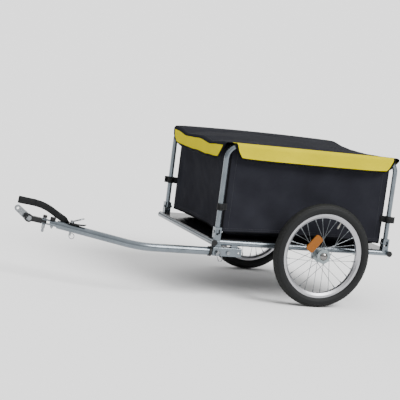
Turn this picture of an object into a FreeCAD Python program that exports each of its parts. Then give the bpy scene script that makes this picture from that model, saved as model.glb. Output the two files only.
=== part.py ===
"""Two-wheeled bicycle cargo trailer: tube frame, folding side hoops, fabric bag and side drawbar.

Millimetres, +Z up, +X rearwards, -Y the trailer's left side, which carries the drawbar.
The model is laid out about the point on the ground under the middle of the wheel axis,
then moved so that its origin is the bottom centre of its bounding box.
"""
import FreeCAD, Part
import math
import os

V = FreeCAD.Vector
X_AXIS, Y_AXIS, Z_AXIS = V(1, 0, 0), V(0, 1, 0), V(0, 0, 1)
SIDES = (("left", -1), ("right", 1))

# Wheels, 16 inch
WHEEL_R = 195.0
TYRE_SECTION_R = 21.0
TYRE_WALL = 3.5
RIM_OUTER_R = 160.5
RIM_INNER_R = 142.0
RIM_HALF_WIDTH = 13.5
TRACK = 676.0
SPOKES = 28
SPOKE_R = 1.0
FLANGE_R = 27.0
FLANGE_Y = 18.0
HUB_HALF_LENGTH = 22.0
AXLE_R = 6.0
RUNNING_GAP = 0.05
REFLECTOR_SIZE = (68.0, 34.0)
REFLECTOR_Y = (-22.9, -16.9)
REFLECTOR_CENTRE = V(-45.0, 0.0, 46.0)
REFLECTOR_TURN_DEG = -52.0
VALVE_TURN = math.radians(2 * 360 / SPOKES)

# Base frame
RAIL_R = 11.0
WALL = 1.5
RAIL_Y = 278.0
RAIL_Z = WHEEL_R + 15.0
FRONT_TUBE_X = -417.0
REAR_TUBE_X = 308.0
CROSS_TUBE_HALF = 300.0
PANEL_T = 1.5
MOUNT_PLATE_Y = (295.0, 308.0)
MOUNT_HALF = 22.0

# Side hoops and their pivots
HOOP_R = 9.25
HOOP_Y = 276.0
HOOP_FRONT_X = FRONT_TUBE_X + 14.0
HOOP_REAR_X = REAR_TUBE_X - 14.0
PIVOT_Z = 248.0
HOOP_TOP_Z = 566.0
HOOP_BEND_R = 48.0
HOOP_BOLT_R = 3.0
BRACKET_T = 2.5
BRACKET_TOP = 17.0
FOLD_LEFT_DEG = 90.0
FOLD_RATIO = 0.86

# Bag and cover
BAG_X = (-384.0, 280.0)
BAG_HALF_Y = 265.0
BAG_TOP_Z = 548.0
CLOTH = 3.0
BAG_SEAM_GAP = 0.2
COVER_T = 2.5
COVER_Z = HOOP_TOP_Z + HOOP_R + 0.5
COVER_HALF_Y = HOOP_Y + HOOP_R + 3.75
COVER_X = (HOOP_FRONT_X - 12.5, HOOP_REAR_X + 12.5)
SKIRT_DROP = 62.0
SKIRT_CUT_BACK = (26.0, 62.0)
STRAP_WIDTH = 25.0
STRAP_Z = {"left": (340.0, 340.0), "right": (356.0, 340.0)}
STRAP_TAIL = 26.0

# Drawbar, its bracket and lock pin
BAR_R = 14.75
BAR_WALL = 2.0
BAR_Z = 175.0
BAR_PIVOT = V(-358.0, -RAIL_Y, BAR_Z)
PIN_PITCH = 41.6
BAR_BEND = V(-690.0, -RAIL_Y, BAR_Z)
STUB_TIP = V(-1006.0, -80.0, 212.7)
BAR_BEND_R = 190.0
CHANNEL_X = (-417.0, -304.0)
CHANNEL_T = 2.5
CHANNEL_BOTTOM_Z = 161.5
LOCK_PIN_R = 4.0
LOCK_PIN_TRAVEL = 45.0
BAIL_TILT_DEG = 25.0

# Hitch
STUB_R = 10.5
STUB_LENGTH = 62.0
HITCH_PIN_BACK = 9.0
EYE_CENTRE = V(-1058.0, -84.0, 220.5)
EYE_R = 15.0
EYE_HALF = 9.0
AXLE_HOLE = V(-1097.0, -71.0, 251.0)
AXLE_HOLE_R = 5.1
PLATE_T = 4.0
STUB_PIN_BACK = 112.0
D_RING_REST_SLOPE = 0.5
SPLIT_RING_R = 9.7
SPLIT_WIRE_R = 1.3
CLAMP_BACK = HITCH_PIN_BACK + 31.0
KNOB_BACK = {"hitch_pin_knob": HITCH_PIN_BACK, "clamp_knob": CLAMP_BACK}

# Safety strap
STRAP_T = 3.0


def box(low, high):
    """A block between two corners."""
    size = [b - a for a, b in zip(low, high)]
    return Part.makeBox(*size, V(*low))


def rod(start, direction, radius, length):
    """A round bar from a point along a direction."""
    return Part.makeCylinder(radius, length, start, direction)


def ring(start, direction, outer, inner, length):
    """A round bar with a hole along it."""
    return rod(start, direction, outer, length).cut(rod(start, direction, inner, length))


def hexagon(start, direction, across, height):
    """A hexagon nut or bolt head blank."""
    turn = FreeCAD.Rotation(Z_AXIS, direction)
    corners = []
    for step in range(7):
        angle = math.radians(60 * step)
        corner = V(math.cos(angle), math.sin(angle), 0) * (across / math.sqrt(3))
        corners.append(start + turn.multVec(corner))
    face = Part.Face(Part.makePolygon(corners))
    return face.extrude(V(direction).normalize() * height)


def slab(corners, thickness):
    """A flat plate from its outline and the vector across its thickness."""
    return Part.Face(Part.makePolygon(corners + corners[:1])).extrude(thickness)


def rectangle(corner, width, height):
    """The four corners of a rectangle from one corner and its two sides."""
    return [corner, corner + width, corner + width + height, corner + height]


def rounded_wire(points, radii):
    """Straight runs joined by tangent arcs."""
    edges = []
    last = points[0]
    for before, corner, after, radius in zip(points, points[1:], points[2:], radii):
        back = (before - corner).normalize()
        ahead = (after - corner).normalize()
        half = back.getAngle(ahead) / 2
        reach = radius / math.tan(half)
        middle = corner + (back + ahead).normalize() * (radius / math.sin(half) - radius)
        start, end = corner + back * reach, corner + ahead * reach
        edges.append(Part.LineSegment(last, start).toShape())
        edges.append(Part.Arc(start, middle, end).toShape())
        last = end
    edges.append(Part.LineSegment(last, points[-1]).toShape())
    return Part.Wire(edges)


def bent_bar(points, radii, radius):
    """A round bar along a bent path."""
    path = rounded_wire(points, radii)
    circle = Part.makeCircle(radius, points[0], points[1] - points[0])
    return path.makePipeShell([Part.Wire(circle)], True, True)


def revolved(outline):
    """Turns a closed outline of (along the axle, out from it) about the Y axis."""
    face = Part.Face(Part.makePolygon([V(0, y, r) for y, r in outline + outline[:1]]))
    return face.revolve(V(0, 0, 0), Y_AXIS, 360)


def fused(shapes):
    """One solid out of several that touch."""
    return shapes[0].multiFuse(shapes[1:]).removeSplitter()


def without(shape, tools):
    """Cuts every tool out of a shape."""
    return shape.cut(Part.makeCompound(tools))


# ---------------------------------------------------------------- wheels


def tyre():
    """Tyre with its tube cavity open towards the rim."""
    crown = WHEEL_R - TYRE_SECTION_R
    circle_centre = V(0, 0, crown)
    bead_r = RIM_OUTER_R - 8
    shoulder_r = RIM_OUTER_R + 5
    outer = Part.Face(Part.Wire(Part.makeCircle(TYRE_SECTION_R, circle_centre, X_AXIS)))
    inner = Part.Face(Part.Wire(Part.makeCircle(TYRE_SECTION_R - TYRE_WALL, circle_centre, X_AXIS)))

    def strip(half, low, high):
        corners = rectangle(V(0, -half, low), Y_AXIS * 2 * half, Z_AXIS * (high - low))
        return Part.Face(Part.makePolygon(corners + corners[:1]))

    above_rim = outer.cut(strip(TYRE_SECTION_R + 1, 0, RIM_OUTER_R + 0.5))
    bead = strip(RIM_HALF_WIDTH - 2.2, bead_r, shoulder_r)
    cavity = inner.cut(strip(TYRE_SECTION_R, 0, shoulder_r))
    mouth = strip(RIM_HALF_WIDTH - 5.5, bead_r - 1, crown)
    wall = fused([above_rim, bead]).cut(cavity).cut(mouth)
    return fused([face.revolve(V(0, 0, 0), Y_AXIS, 360) for face in wall.Faces])


def rim():
    """Aluminium rim with its tyre well, drilled for the valve."""
    w, out, low = RIM_HALF_WIDTH, RIM_OUTER_R, RIM_INNER_R
    outline = [(-w, out), (-w, low + 8), (-7, low), (7, low), (w, low + 8), (w, out)]
    outline += [(w - 2, out), (w - 2, low + 9), (-w + 2, low + 9), (-w + 2, out)]
    return revolved(outline).cut(rod(wheel_point(VALVE_TURN, RIM_INNER_R - 1, 0), valve_way(), 3.2, 12))


def wheel_point(angle, radius, y):
    """A point of a wheel at an angle from the top, so far out from the axle."""
    return V(math.sin(angle) * radius, y, math.cos(angle) * radius)


def valve_way():
    """Direction from the axle to the valve, midway between two spokes' ends."""
    return wheel_point(VALVE_TURN, 1, 0)


def spokes():
    """Crossed wire spokes, each with its nipple at the rim."""
    pieces = []
    for index in range(SPOKES):
        side = 1 if index % 2 else -1
        lean = 1 if (index // 2) % 2 else -1
        at_rim = math.radians((index + 0.5) * 360 / SPOKES)
        at_hub = at_rim + lean * math.radians(62)
        start = wheel_point(at_hub, FLANGE_R - 3, side * (FLANGE_Y + 1.4))
        end = wheel_point(at_rim, RIM_INNER_R + 1, side * 3)
        along = end - start
        nipple_start = end - V(along).normalize() * 13
        wire = rod(start, along, SPOKE_R, along.Length)
        pieces.append(wire.fuse(rod(nipple_start, along, 2.0, 13)).removeSplitter())
    return Part.makeCompound(pieces)


def hub():
    """Hub shell with two spoke flanges and a seat for a bearing at each end."""
    seat = HUB_HALF_LENGTH - 8
    half = HUB_HALF_LENGTH
    shell = [(-half, 13.5), (-half, 15), (-20, 16), (-20, FLANGE_R), (-17, FLANGE_R), (-14, 13)]
    shell += [(14, 13), (17, FLANGE_R), (20, FLANGE_R), (20, 16), (half, 15), (half, 13.5)]
    shell += [(half, 11), (seat, 11), (seat, 8), (-seat, 8), (-seat, 11), (-half, 11)]
    return revolved(shell)


def bearings():
    """Two sealed bearings on the axle."""
    inner = AXLE_R + RUNNING_GAP
    starts = (-HUB_HALF_LENGTH, HUB_HALF_LENGTH - 8)
    return Part.makeCompound([ring(V(0, y, 0), Y_AXIS, 11, inner, 8) for y in starts])


def hub_cap():
    """Domed cap over the outer end of the axle, which is on the -Y side."""
    face = HUB_HALF_LENGTH
    dome = Part.makeSphere(18, V(0, -face + 9.5, 0)).common(rod(V(0, -face, 0), -Y_AXIS, 15, 9))
    return dome.cut(rod(V(0, -face, 0), -Y_AXIS, 9, 4))


def reflector():
    """Spoke reflector, a rounded lens clipped to the outer face of the spokes."""
    length, height = REFLECTOR_SIZE
    lens = box((-length / 2, REFLECTOR_Y[0], -height / 2), (length / 2, REFLECTOR_Y[1], height / 2))
    lens = lens.makeFillet(9, [edge for edge in lens.Edges if abs(edge.tangentAt(0).y) > 0.9])
    lens.Placement = FreeCAD.Placement(REFLECTOR_CENTRE, FreeCAD.Rotation(Y_AXIS, REFLECTOR_TURN_DEG))
    return lens


def valve():
    """Tyre valve stem that stands in from the rim towards the hub."""
    way = valve_way()
    stem = rod(way * (RIM_INNER_R - 22), way, 3.0, 30)
    return fused([stem, rod(way * (RIM_INNER_R - 26), way, 3.9, 12)])


def axle():
    """Axle with a collar between the hub and the frame; its outer end is on the -Y side."""
    inboard = TRACK / 2 - MOUNT_PLATE_Y[0]
    shank = rod(V(0, -HUB_HALF_LENGTH - 1, 0), Y_AXIS, AXLE_R, HUB_HALF_LENGTH + 1 + inboard)
    collar_start = HUB_HALF_LENGTH + 0.3
    collar = rod(V(0, collar_start, 0), Y_AXIS, 9.5, TRACK / 2 - MOUNT_PLATE_Y[1] - collar_start)
    return shank.fuse(collar).removeSplitter()


def axle_mount():
    """Block on the left rail that holds the axle, clear of the drawbar when it is folded under."""
    inner, outer = MOUNT_PLATE_Y
    top = RAIL_Z + 10
    plate = box((-MOUNT_HALF, -outer, WHEEL_R - 17), (MOUNT_HALF, -inner, top))
    bridge = box((-MOUNT_HALF, -inner, RAIL_Z - 10), (MOUNT_HALF, -RAIL_Y, top))
    bore = rod(V(0, -outer - 1, WHEEL_R), Y_AXIS, AXLE_R, outer - inner + 2)
    inside = rod(V(-MOUNT_HALF - 1, -RAIL_Y, RAIL_Z), X_AXIS, RAIL_R, 2 * MOUNT_HALF + 2)
    return without(fused([plate, bridge]), [bore, inside, box((-99, -RAIL_Y, 0), (99, 0, 400))])


# ---------------------------------------------------------------- base frame


def cross_tube(x):
    """Hollow tube across the frame, open at both ends for its plugs."""
    start = V(x, -CROSS_TUBE_HALF, RAIL_Z)
    return ring(start, Y_AXIS, RAIL_R, RAIL_R - WALL, 2 * CROSS_TUBE_HALF)


def side_rail(y):
    """Hollow rail between the cross tubes, its ends shaped to them."""
    start = V(FRONT_TUBE_X, y, RAIL_Z)
    rail = ring(start, X_AXIS, RAIL_R, RAIL_R - WALL, REAR_TUBE_X - FRONT_TUBE_X)
    ends = (FRONT_TUBE_X, REAR_TUBE_X)
    return without(rail, [rod(V(x, y - 30, RAIL_Z), Y_AXIS, RAIL_R, 60) for x in ends])


def end_plugs():
    """Plastic plugs in the ends of both cross tubes."""
    plugs = []
    for x in (FRONT_TUBE_X, REAR_TUBE_X):
        for way in (-1, 1):
            outward = Y_AXIS * way
            mouth = V(x, way * CROSS_TUBE_HALF, RAIL_Z)
            stem = rod(mouth - outward * 14, outward, RAIL_R - WALL - 0.05, 14)
            head = rod(mouth, outward, RAIL_R + 0.3, 2.5)
            plugs.append(fused([stem, head.makeFillet(0.8, [head.Edges[0], head.Edges[2]])]))
    return Part.makeCompound(plugs)


def rivet_places():
    """Where the floor panel is riveted to the tubes under it."""
    top = RAIL_Z + RAIL_R
    places = [V(x, y, top) for x in (FRONT_TUBE_X, REAR_TUBE_X) for y in (-220, -110, 0, 110, 220)]
    places += [V(x, y, top) for y in (-RAIL_Y, RAIL_Y) for x in (-330, -130, 110, 240)]
    return places


def floor_panel():
    """Sheet panel on top of the frame, notched round the hoop brackets."""
    half = RAIL_Y + 7
    top = RAIL_Z + RAIL_R
    panel = box((FRONT_TUBE_X - 7, -half, top), (REAR_TUBE_X + 7, half, top + PANEL_T))
    notches = []
    for x in (HOOP_FRONT_X, HOOP_REAR_X):
        end = math.copysign(500, x)
        inside = x - math.copysign(15, x)
        for way in (-1, 1):
            low_y, high_y = sorted((way * (HOOP_Y - 14), way * 400))
            notches.append(box((min(end, inside), low_y, top - 1), (max(end, inside), high_y, top + 9)))
    return without(panel, notches)


def rivets():
    """Domed rivets that hold the floor panel down."""
    pieces = []
    for place in rivet_places():
        shank = rod(place - Z_AXIS * 4, Z_AXIS, 2.0, 4 + PANEL_T)
        head = Part.makeSphere(9, place + Z_AXIS * (PANEL_T - 8)).common(
            rod(place + Z_AXIS * PANEL_T, Z_AXIS, 5, 4))
        pieces.append(fused([shank, head]))
    return Part.makeCompound(pieces)


# ---------------------------------------------------------------- side hoops


def hoop(y):
    """Inverted U of tube with rounded solid feet, each drilled for its pivot bolt."""
    feet = (HOOP_FRONT_X, HOOP_REAR_X)

    def path(foot_z):
        corners = [V(feet[0], y, foot_z), V(feet[0], y, HOOP_TOP_Z)]
        return corners + [V(feet[1], y, HOOP_TOP_Z), V(feet[1], y, foot_z)]

    bends = (HOOP_BEND_R, HOOP_BEND_R)
    tube = bent_bar(path(PIVOT_Z), bends, HOOP_R).cut(bent_bar(path(PIVOT_Z + 18), bends, HOOP_R - WALL))
    pieces = [tube]
    holes = []
    for x in feet:
        low = rod(V(x, y, PIVOT_Z - HOOP_R), Z_AXIS, HOOP_R, HOOP_R)
        pieces.append(low.common(rod(V(x - 15, y, PIVOT_Z), X_AXIS, HOOP_R, 30)))
        holes.append(rod(V(x - 15, y, PIVOT_Z), X_AXIS, HOOP_BOLT_R + RUNNING_GAP, 30))
    return without(fused(pieces), holes)


def hoop_bracket(x, way, frame_tubes):
    """Upright U of plate that lets a hoop fold inwards only; way is -1 on the left."""
    inner = HOOP_R + 0.6
    outer = inner + BRACKET_T
    low, high = RAIL_Z + 4, PIVOT_Z + BRACKET_TOP
    y0 = way * HOOP_Y

    def block(x_low, x_high, out_low, out_high, z_low, z_high):
        ys = sorted((y0 + way * out_low, y0 + way * out_high))
        return box((x + x_low, ys[0], z_low), (x + x_high, ys[1], z_high))

    plates = [block(-outer, -inner, -11, outer, low, high), block(inner, outer, -11, outer, low, high)]
    web = block(-outer, outer, inner, outer, low, high)
    base = block(-outer, outer, -11, outer, RAIL_Z + RAIL_R, RAIL_Z + RAIL_R + 3)
    window = block(-7, 7, 0, outer + 1, PIVOT_Z - 11, PIVOT_Z + 9)
    bolt_hole = rod(V(x - 20, y0, PIVOT_Z), X_AXIS, HOOP_BOLT_R, 40)
    return without(fused(plates + [web, base]), [window, bolt_hole] + frame_tubes)


def hoop_bolts():
    """Pivot bolts of both hoops, their heads towards the outside of the frame."""
    bolts = []
    for x in (HOOP_FRONT_X, HOOP_REAR_X):
        inward = X_AXIS if x < 0 else -X_AXIS
        outer = HOOP_R + 0.6 + BRACKET_T
        for way in (-1, 1):
            seat = V(x, way * HOOP_Y, PIVOT_Z) - inward * outer
            head = rod(seat, -inward, 5.5, 3.2)
            crown = [e for e in head.Edges if abs(e.BoundBox.Center.x - seat.x) > 3]
            head = head.makeFillet(1.4, crown)
            bolts.append(fused([head, rod(seat, inward, HOOP_BOLT_R, 2 * outer + 8)]))
    return Part.makeCompound(bolts)


def lock_nuts():
    """Nuts on the hoop bolts and on the drawbar's pivot bolt."""
    nuts = []
    for x in (HOOP_FRONT_X, HOOP_REAR_X):
        inward = X_AXIS if x < 0 else -X_AXIS
        for way in (-1, 1):
            seat = V(x, way * HOOP_Y, PIVOT_Z) + inward * (HOOP_R + 0.6 + BRACKET_T)
            nuts.append(hexagon(seat, inward, 10, 6).cut(rod(seat, inward, HOOP_BOLT_R, 6)))
    seat = BAR_PIVOT + Y_AXIS * (BAR_R + 0.5 + CHANNEL_T)
    nuts.append(hexagon(seat, Y_AXIS, 13, 7).cut(rod(seat, Y_AXIS, 4, 7)))
    return Part.makeCompound(nuts)


# ---------------------------------------------------------------- bag and cover


def bag_walls():
    """Four upright panels of the open bag, standing on the floor panel."""
    low = RAIL_Z + RAIL_R + PANEL_T + BAG_SEAM_GAP
    front, rear = BAG_X
    y = BAG_HALF_Y
    walls = [box((front, side, low), (rear, side + CLOTH, BAG_TOP_Z)) for side in (-y, y - CLOTH)]
    for x in (front, rear - CLOTH):
        walls.append(box((x, -y + CLOTH + 0.1, low), (x + CLOTH, y - CLOTH - 0.1, BAG_TOP_Z)))
    return Part.makeCompound(walls)


def bag_floor():
    """Bottom panel of the bag, on the floor panel and inside the walls."""
    low = RAIL_Z + RAIL_R + PANEL_T
    inset = CLOTH + BAG_SEAM_GAP
    half = BAG_HALF_Y - inset
    return box((BAG_X[0] + inset, -half, low), (BAG_X[1] - inset, half, low + CLOTH))


def cover_top():
    """Flat top panel of the cover, over both hoops."""
    half = COVER_HALF_Y
    panel = box((COVER_X[0], -half, COVER_Z), (COVER_X[1], half, COVER_Z + COVER_T))
    return panel.makeChamfer(24, [edge for edge in panel.Edges if abs(edge.tangentAt(0).z) > 0.9])


def cover_skirt():
    """Four hanging flaps of the cover, each narrower at its hem."""
    low, high = COVER_Z - SKIRT_DROP, COVER_Z - 0.1
    flaps = []
    for x, way in ((COVER_X[0], 1), (COVER_X[1], -1)):
        wide, narrow = [COVER_HALF_Y - cut for cut in SKIRT_CUT_BACK]
        corners = [V(x, -wide, high), V(x, wide, high), V(x, narrow, low), V(x, -narrow, low)]
        flaps.append(slab(corners, X_AXIS * way * COVER_T))
    for way in (-1, 1):
        y = way * COVER_HALF_Y
        front, rear = HOOP_FRONT_X + 14, HOOP_REAR_X - 14
        corners = [V(front, y, high), V(rear, y, high), V(rear - 55, y, low), V(front + 55, y, low)]
        flaps.append(slab(corners, Y_AXIS * -way * COVER_T))
    return Part.makeCompound(flaps)


def corner_straps(side, way):
    """Webbing loops that tie the bag's corners to the legs of one hoop."""
    straps = []
    for x, height in zip((HOOP_FRONT_X, HOOP_REAR_X), STRAP_Z[side]):
        out = -1 if x < 0 else 1
        leg = V(x, way * HOOP_Y, height - STRAP_WIDTH / 2)
        loop = rod(leg, Z_AXIS, HOOP_R + 2.4, STRAP_WIDTH)
        tail_x = sorted((x, x + out * STRAP_TAIL))
        tail_y = way * HOOP_Y + way * (HOOP_R - 0.2)
        tail_ys = sorted((tail_y, tail_y + way * 2.2))
        tail = box((tail_x[0], tail_ys[0], leg.z), (tail_x[1], tail_ys[1], leg.z + STRAP_WIDTH))
        straps.append(fused([loop, tail]).cut(rod(leg, Z_AXIS, HOOP_R, STRAP_WIDTH)))
    return Part.makeCompound(straps)


# ---------------------------------------------------------------- drawbar


def bar_frame():
    """Directions of the drawbar's front leg: along it, across it and upright from it."""
    along = (STUB_TIP - BAR_BEND).normalize()
    across = along.cross(Z_AXIS).normalize()
    upright = across.cross(along).normalize()
    return along, across, upright


def bar_point(back):
    """A point on the front leg's centre line, so far back from the stub's tip."""
    return STUB_TIP - bar_frame()[0] * back


def drawbar_bracket():
    """Downward channel under the left rail, with two pads welded to the rail."""
    inner = BAR_R + 0.5
    outer = inner + CHANNEL_T
    low, high = CHANNEL_BOTTOM_Z, BAR_Z + outer
    y = -RAIL_Y
    block = box((CHANNEL_X[0], y - outer, low), (CHANNEL_X[1], y + outer, high))
    shoulders = [e for e in block.Edges if abs(e.BoundBox.Center.z - high) < 0.1 and e.Length > 90]
    block = block.makeFillet(2.5, shoulders)
    space = box((CHANNEL_X[0] - 1, y - inner, low - 1), (CHANNEL_X[1] + 1, y + inner, BAR_Z + inner))
    pads = [box((x, y - 9, high), (x + 24, y + 9, RAIL_Z - RAIL_R + 4)) for x in (-408, -342)]
    holes = [rod(BAR_PIVOT - Y_AXIS * 30, Y_AXIS, 4, 60)]
    for dx in (-PIN_PITCH, PIN_PITCH):
        holes.append(rod(BAR_PIVOT + V(dx, -30, 0), Y_AXIS, LOCK_PIN_R + RUNNING_GAP, 60))
    rail_inside = rod(V(FRONT_TUBE_X, y, RAIL_Z), X_AXIS, RAIL_R, 200)
    cross = rod(V(FRONT_TUBE_X, y - 40, RAIL_Z), Y_AXIS, RAIL_R, 80)
    return without(fused([block.cut(space)] + pads), holes + [rail_inside, cross])


def drawbar_tube():
    """Bent tube with a round rear end, pivot hole and an open slot for the lock pin."""
    tip = bar_point(STUB_LENGTH - 2)
    rear = BAR_PIVOT
    bar = bent_bar([rear, BAR_BEND, tip], (BAR_BEND_R,), BAR_R)
    hollow = bent_bar([rear, BAR_BEND, tip], (BAR_BEND_R,), BAR_R - BAR_WALL)
    end = rod(rear, X_AXIS, BAR_R, BAR_R).common(rod(rear - Y_AXIS * 20, Y_AXIS, BAR_R, 40))
    end_hollow = rod(rear, X_AXIS, BAR_R - BAR_WALL, BAR_R)
    pivot_hole = rod(rear - Y_AXIS * 20, Y_AXIS, 6, 40)
    wide, narrow = PIN_PITCH + LOCK_PIN_R + 0.3, PIN_PITCH - LOCK_PIN_R - 0.3
    slot = ring(rear - Y_AXIS * 20, Y_AXIS, wide, narrow, 40)
    slot = slot.common(box((rear.x - 60, rear.y - 20, BAR_Z), (rear.x, rear.y + 20, BAR_Z + 20)))
    pin_hole = rod(rear + V(-PIN_PITCH, -20, 0), Y_AXIS, LOCK_PIN_R + 0.3, 40)
    upright = bar_frame()[2]
    stub_hole = rod(bar_point(STUB_PIN_BACK) - upright * 20, upright, 4, 40)
    return without(fused([bar, end]), [hollow, end_hollow, pivot_hole, slot, pin_hole, stub_hole])


def drawbar_bush():
    """Plastic sleeve in the drawbar's pivot hole."""
    return ring(BAR_PIVOT - Y_AXIS * (BAR_R - 2.6), Y_AXIS, 6, 4 + RUNNING_GAP, 2 * (BAR_R - 2.6))


def drawbar_collar():
    """Rubber collar round the drawbar, just ahead of its bracket."""
    start = V(CHANNEL_X[0] - 3, -RAIL_Y, BAR_Z)
    return ring(start, -X_AXIS, BAR_R + 3.2, BAR_R, 9)


def pivot_bolt():
    """Bolt on which the drawbar folds."""
    seat = BAR_PIVOT - Y_AXIS * (BAR_R + 0.5 + CHANNEL_T)
    head = hexagon(seat, -Y_AXIS, 13, 5.3)
    return fused([head, rod(seat, Y_AXIS, 4, 2 * (BAR_R + 0.5 + CHANNEL_T) + 9)])


def lock_pin():
    """Pull pin through the bracket, with a head and a boss for its wire bail."""
    seat = V(BAR_PIVOT.x - PIN_PITCH, -RAIL_Y - BAR_R - 0.5 - CHANNEL_T - 0.3, BAR_Z)
    shank = rod(seat, Y_AXIS, LOCK_PIN_R, 2 * (BAR_R + 0.5 + CHANNEL_T) + 5)
    tip = [e for e in shank.Edges if e.BoundBox.YMin > seat.y + 30]
    shank = shank.makeChamfer(1.2, tip)
    head = rod(seat, -Y_AXIS, 8, 3)
    boss = rod(seat - Y_AXIS * 3, -Y_AXIS, 5.5, 8)
    eye = rod(bail_centre() - bail_axis() * 9, bail_axis(), 1.5 + RUNNING_GAP, 18)
    return fused([shank, head, boss]).cut(eye)


def bail_centre():
    """The point about which the wire bail swings."""
    return V(BAR_PIVOT.x - PIN_PITCH, -RAIL_Y - BAR_R - 0.5 - CHANNEL_T - 7.8, BAR_Z)


def bail_axis():
    """The bail's own hinge direction, across its two ends."""
    tilt = math.radians(BAIL_TILT_DEG)
    return V(math.cos(tilt), 0, math.sin(tilt))


def lock_pin_bail():
    """Wire loop hung on the lock pin's head."""
    tilt = math.radians(BAIL_TILT_DEG)
    down = V(math.sin(tilt), 0, -math.cos(tilt))
    side, centre = bail_axis(), bail_centre()
    pieces = []
    corners = [centre + side * 8, centre + side * 8 + down * 34]
    corners += [centre - side * 8 + down * 34, centre - side * 8]
    pieces.append(bent_bar(corners, (7.9, 7.9), 1.5))
    for way in (-1, 1):
        pieces.append(rod(centre + side * way * 3.5, side * way, 1.5, 4.5))
        pieces.append(Part.makeSphere(1.5, centre + side * way * 8))
    return fused(pieces)


# ---------------------------------------------------------------- hitch


def hitch_stub():
    """Smaller tube in the end of the drawbar, forked at its tip for the hitch arm."""
    along, across, upright = bar_frame()
    pin = bar_point(HITCH_PIN_BACK)
    start = bar_point(STUB_LENGTH + 85)
    thick = rod(start, along, BAR_R - BAR_WALL - 0.05, 80)
    body = rod(start, along, STUB_R, STUB_LENGTH + 85 - HITCH_PIN_BACK)
    nose = rod(pin, along, STUB_R, STUB_R).common(rod(pin - upright * 15, upright, STUB_R, 30))
    hollow = rod(start, along, STUB_R - 2.5, STUB_LENGTH + 85 - 34)
    fork = slab_across(pin, 5.3, 24)
    holes = []
    for back, radius in ((HITCH_PIN_BACK, 4), (STUB_PIN_BACK, 4), (CLAMP_BACK, 3)):
        holes.append(rod(bar_point(back) - upright * 20, upright, radius, 40))
    return without(fused([thick, body, nose]), [hollow, fork] + holes)


def slab_across(pin, half_height, back):
    """A level slot about a pin on the front leg, open to the front and to both sides."""
    along, across, upright = bar_frame()
    corner = pin - along * back - across * 20 - upright * half_height
    return slab(rectangle(corner, across * 40, upright * 2 * half_height), along * (back + 30))


def hitch_pin():
    """Upright pin through the stub's fork, on which the hitch arm swings."""
    upright = bar_frame()[2]
    pin = bar_point(HITCH_PIN_BACK)
    head = rod(pin + upright * (STUB_R + 0.2), upright, 6.5, 3)
    return fused([head, rod(pin - upright * 40, upright, 4, 40 + STUB_R + 0.2)])


def hitch_clip():
    """Sleeve nut with a wire clip on the lower end of the hitch pin."""
    upright = bar_frame()[2]
    pin = bar_point(HITCH_PIN_BACK)
    sleeve = ring(pin - upright * 26, upright, 6.2, 4, 15.3)
    foot = ring(pin - upright * 37, upright, 5.2, 4, 6)
    return Part.makeCompound([sleeve, foot])


def knob(name):
    """Plastic hand knob on the hitch pin, or on the clamp bolt behind it."""
    upright = bar_frame()[2]
    radius, height, low = (8, 9, STUB_R + 3.3) if name == "hitch_pin_knob" else (10, 11, STUB_R + 0.8)
    base = bar_point(KNOB_BACK[name]) + upright * low
    blank = rod(base, upright, radius, height)
    top = [e for e in blank.Edges if (e.BoundBox.Center - base).dot(upright) > height - 0.5]
    return blank.makeFillet(2.5, top)


def clamp_bolt():
    """Cross bolt that keeps the hitch stub's plug from turning."""
    upright = bar_frame()[2]
    middle = bar_point(CLAMP_BACK)
    nut = hexagon(middle - upright * (STUB_R + 5), upright, 10, 4.8)
    return fused([nut, rod(middle - upright * (STUB_R + 9), upright, 3, 2 * STUB_R + 9.6)])


def hitch_arm():
    """Moulded arm: a flat tongue in the fork, a thick neck and an upright eye."""
    upright = bar_frame()[2]
    pin = bar_point(HITCH_PIN_BACK)
    towards = (EYE_CENTRE - pin).normalize()
    side = towards.cross(upright).normalize()
    level = upright.cross(side).normalize()
    tongue = rod(pin - upright * 5, upright, 9, 10)
    bridge = slab(rectangle(pin - side * 9 - upright * 5, side * 18, upright * 10), level * 22)
    neck_start = pin + towards * 11
    reach = (EYE_CENTRE - pin).Length
    neck_low = neck_start - side * 8.5 - upright * 9.5
    neck = slab(rectangle(neck_low, side * 17, upright * 19), towards * (reach - 11))
    neck = neck.cut(rod(pin - upright * 20, upright, 12, 40))
    eye = rod(EYE_CENTRE - Y_AXIS * EYE_HALF, Y_AXIS, EYE_R, 2 * EYE_HALF)
    arm = fused([tongue, bridge, neck, eye])
    arm = arm.cut(rod(pin - upright * 20, upright, 4 + RUNNING_GAP, 40))
    beyond_plate = box((-1200, EYE_CENTRE.y + EYE_HALF, 100), (-1015, 0, 300))
    return without(arm, [rod(EYE_CENTRE - Y_AXIS * 30, Y_AXIS, 5, 60), beyond_plate])


def hitch_bolt():
    """Bolt through the arm's eye that carries the axle plate."""
    seat = EYE_CENTRE - Y_AXIS * EYE_HALF
    head = hexagon(seat - Y_AXIS * 1.5, -Y_AXIS, 15, 5)
    washer = rod(seat, -Y_AXIS, 9.5, 1.5)
    shank = rod(seat, Y_AXIS, 5, 2 * EYE_HALF + 0.4 + PLATE_T + 7)
    return fused([head, washer, shank])


def axle_plate():
    """Steel plate with a hole for the bicycle's rear axle."""
    y = EYE_CENTRE.y + EYE_HALF + 0.4
    low = V(EYE_CENTRE.x, y, EYE_CENTRE.z)
    high = V(AXLE_HOLE.x, y, AXLE_HOLE.z)
    span = high - low
    side = span.cross(Y_AXIS).normalize()
    strip = slab([low + side * 13, high + side * 12, high - side * 12, low - side * 13], Y_AXIS * PLATE_T)
    ends = [rod(low, Y_AXIS, 13, PLATE_T), rod(high, Y_AXIS, 12, PLATE_T)]
    holes = [rod(low, Y_AXIS, 5 + RUNNING_GAP, PLATE_T), rod(high, Y_AXIS, AXLE_HOLE_R, PLATE_T)]
    return without(fused([strip] + ends), holes)


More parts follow.
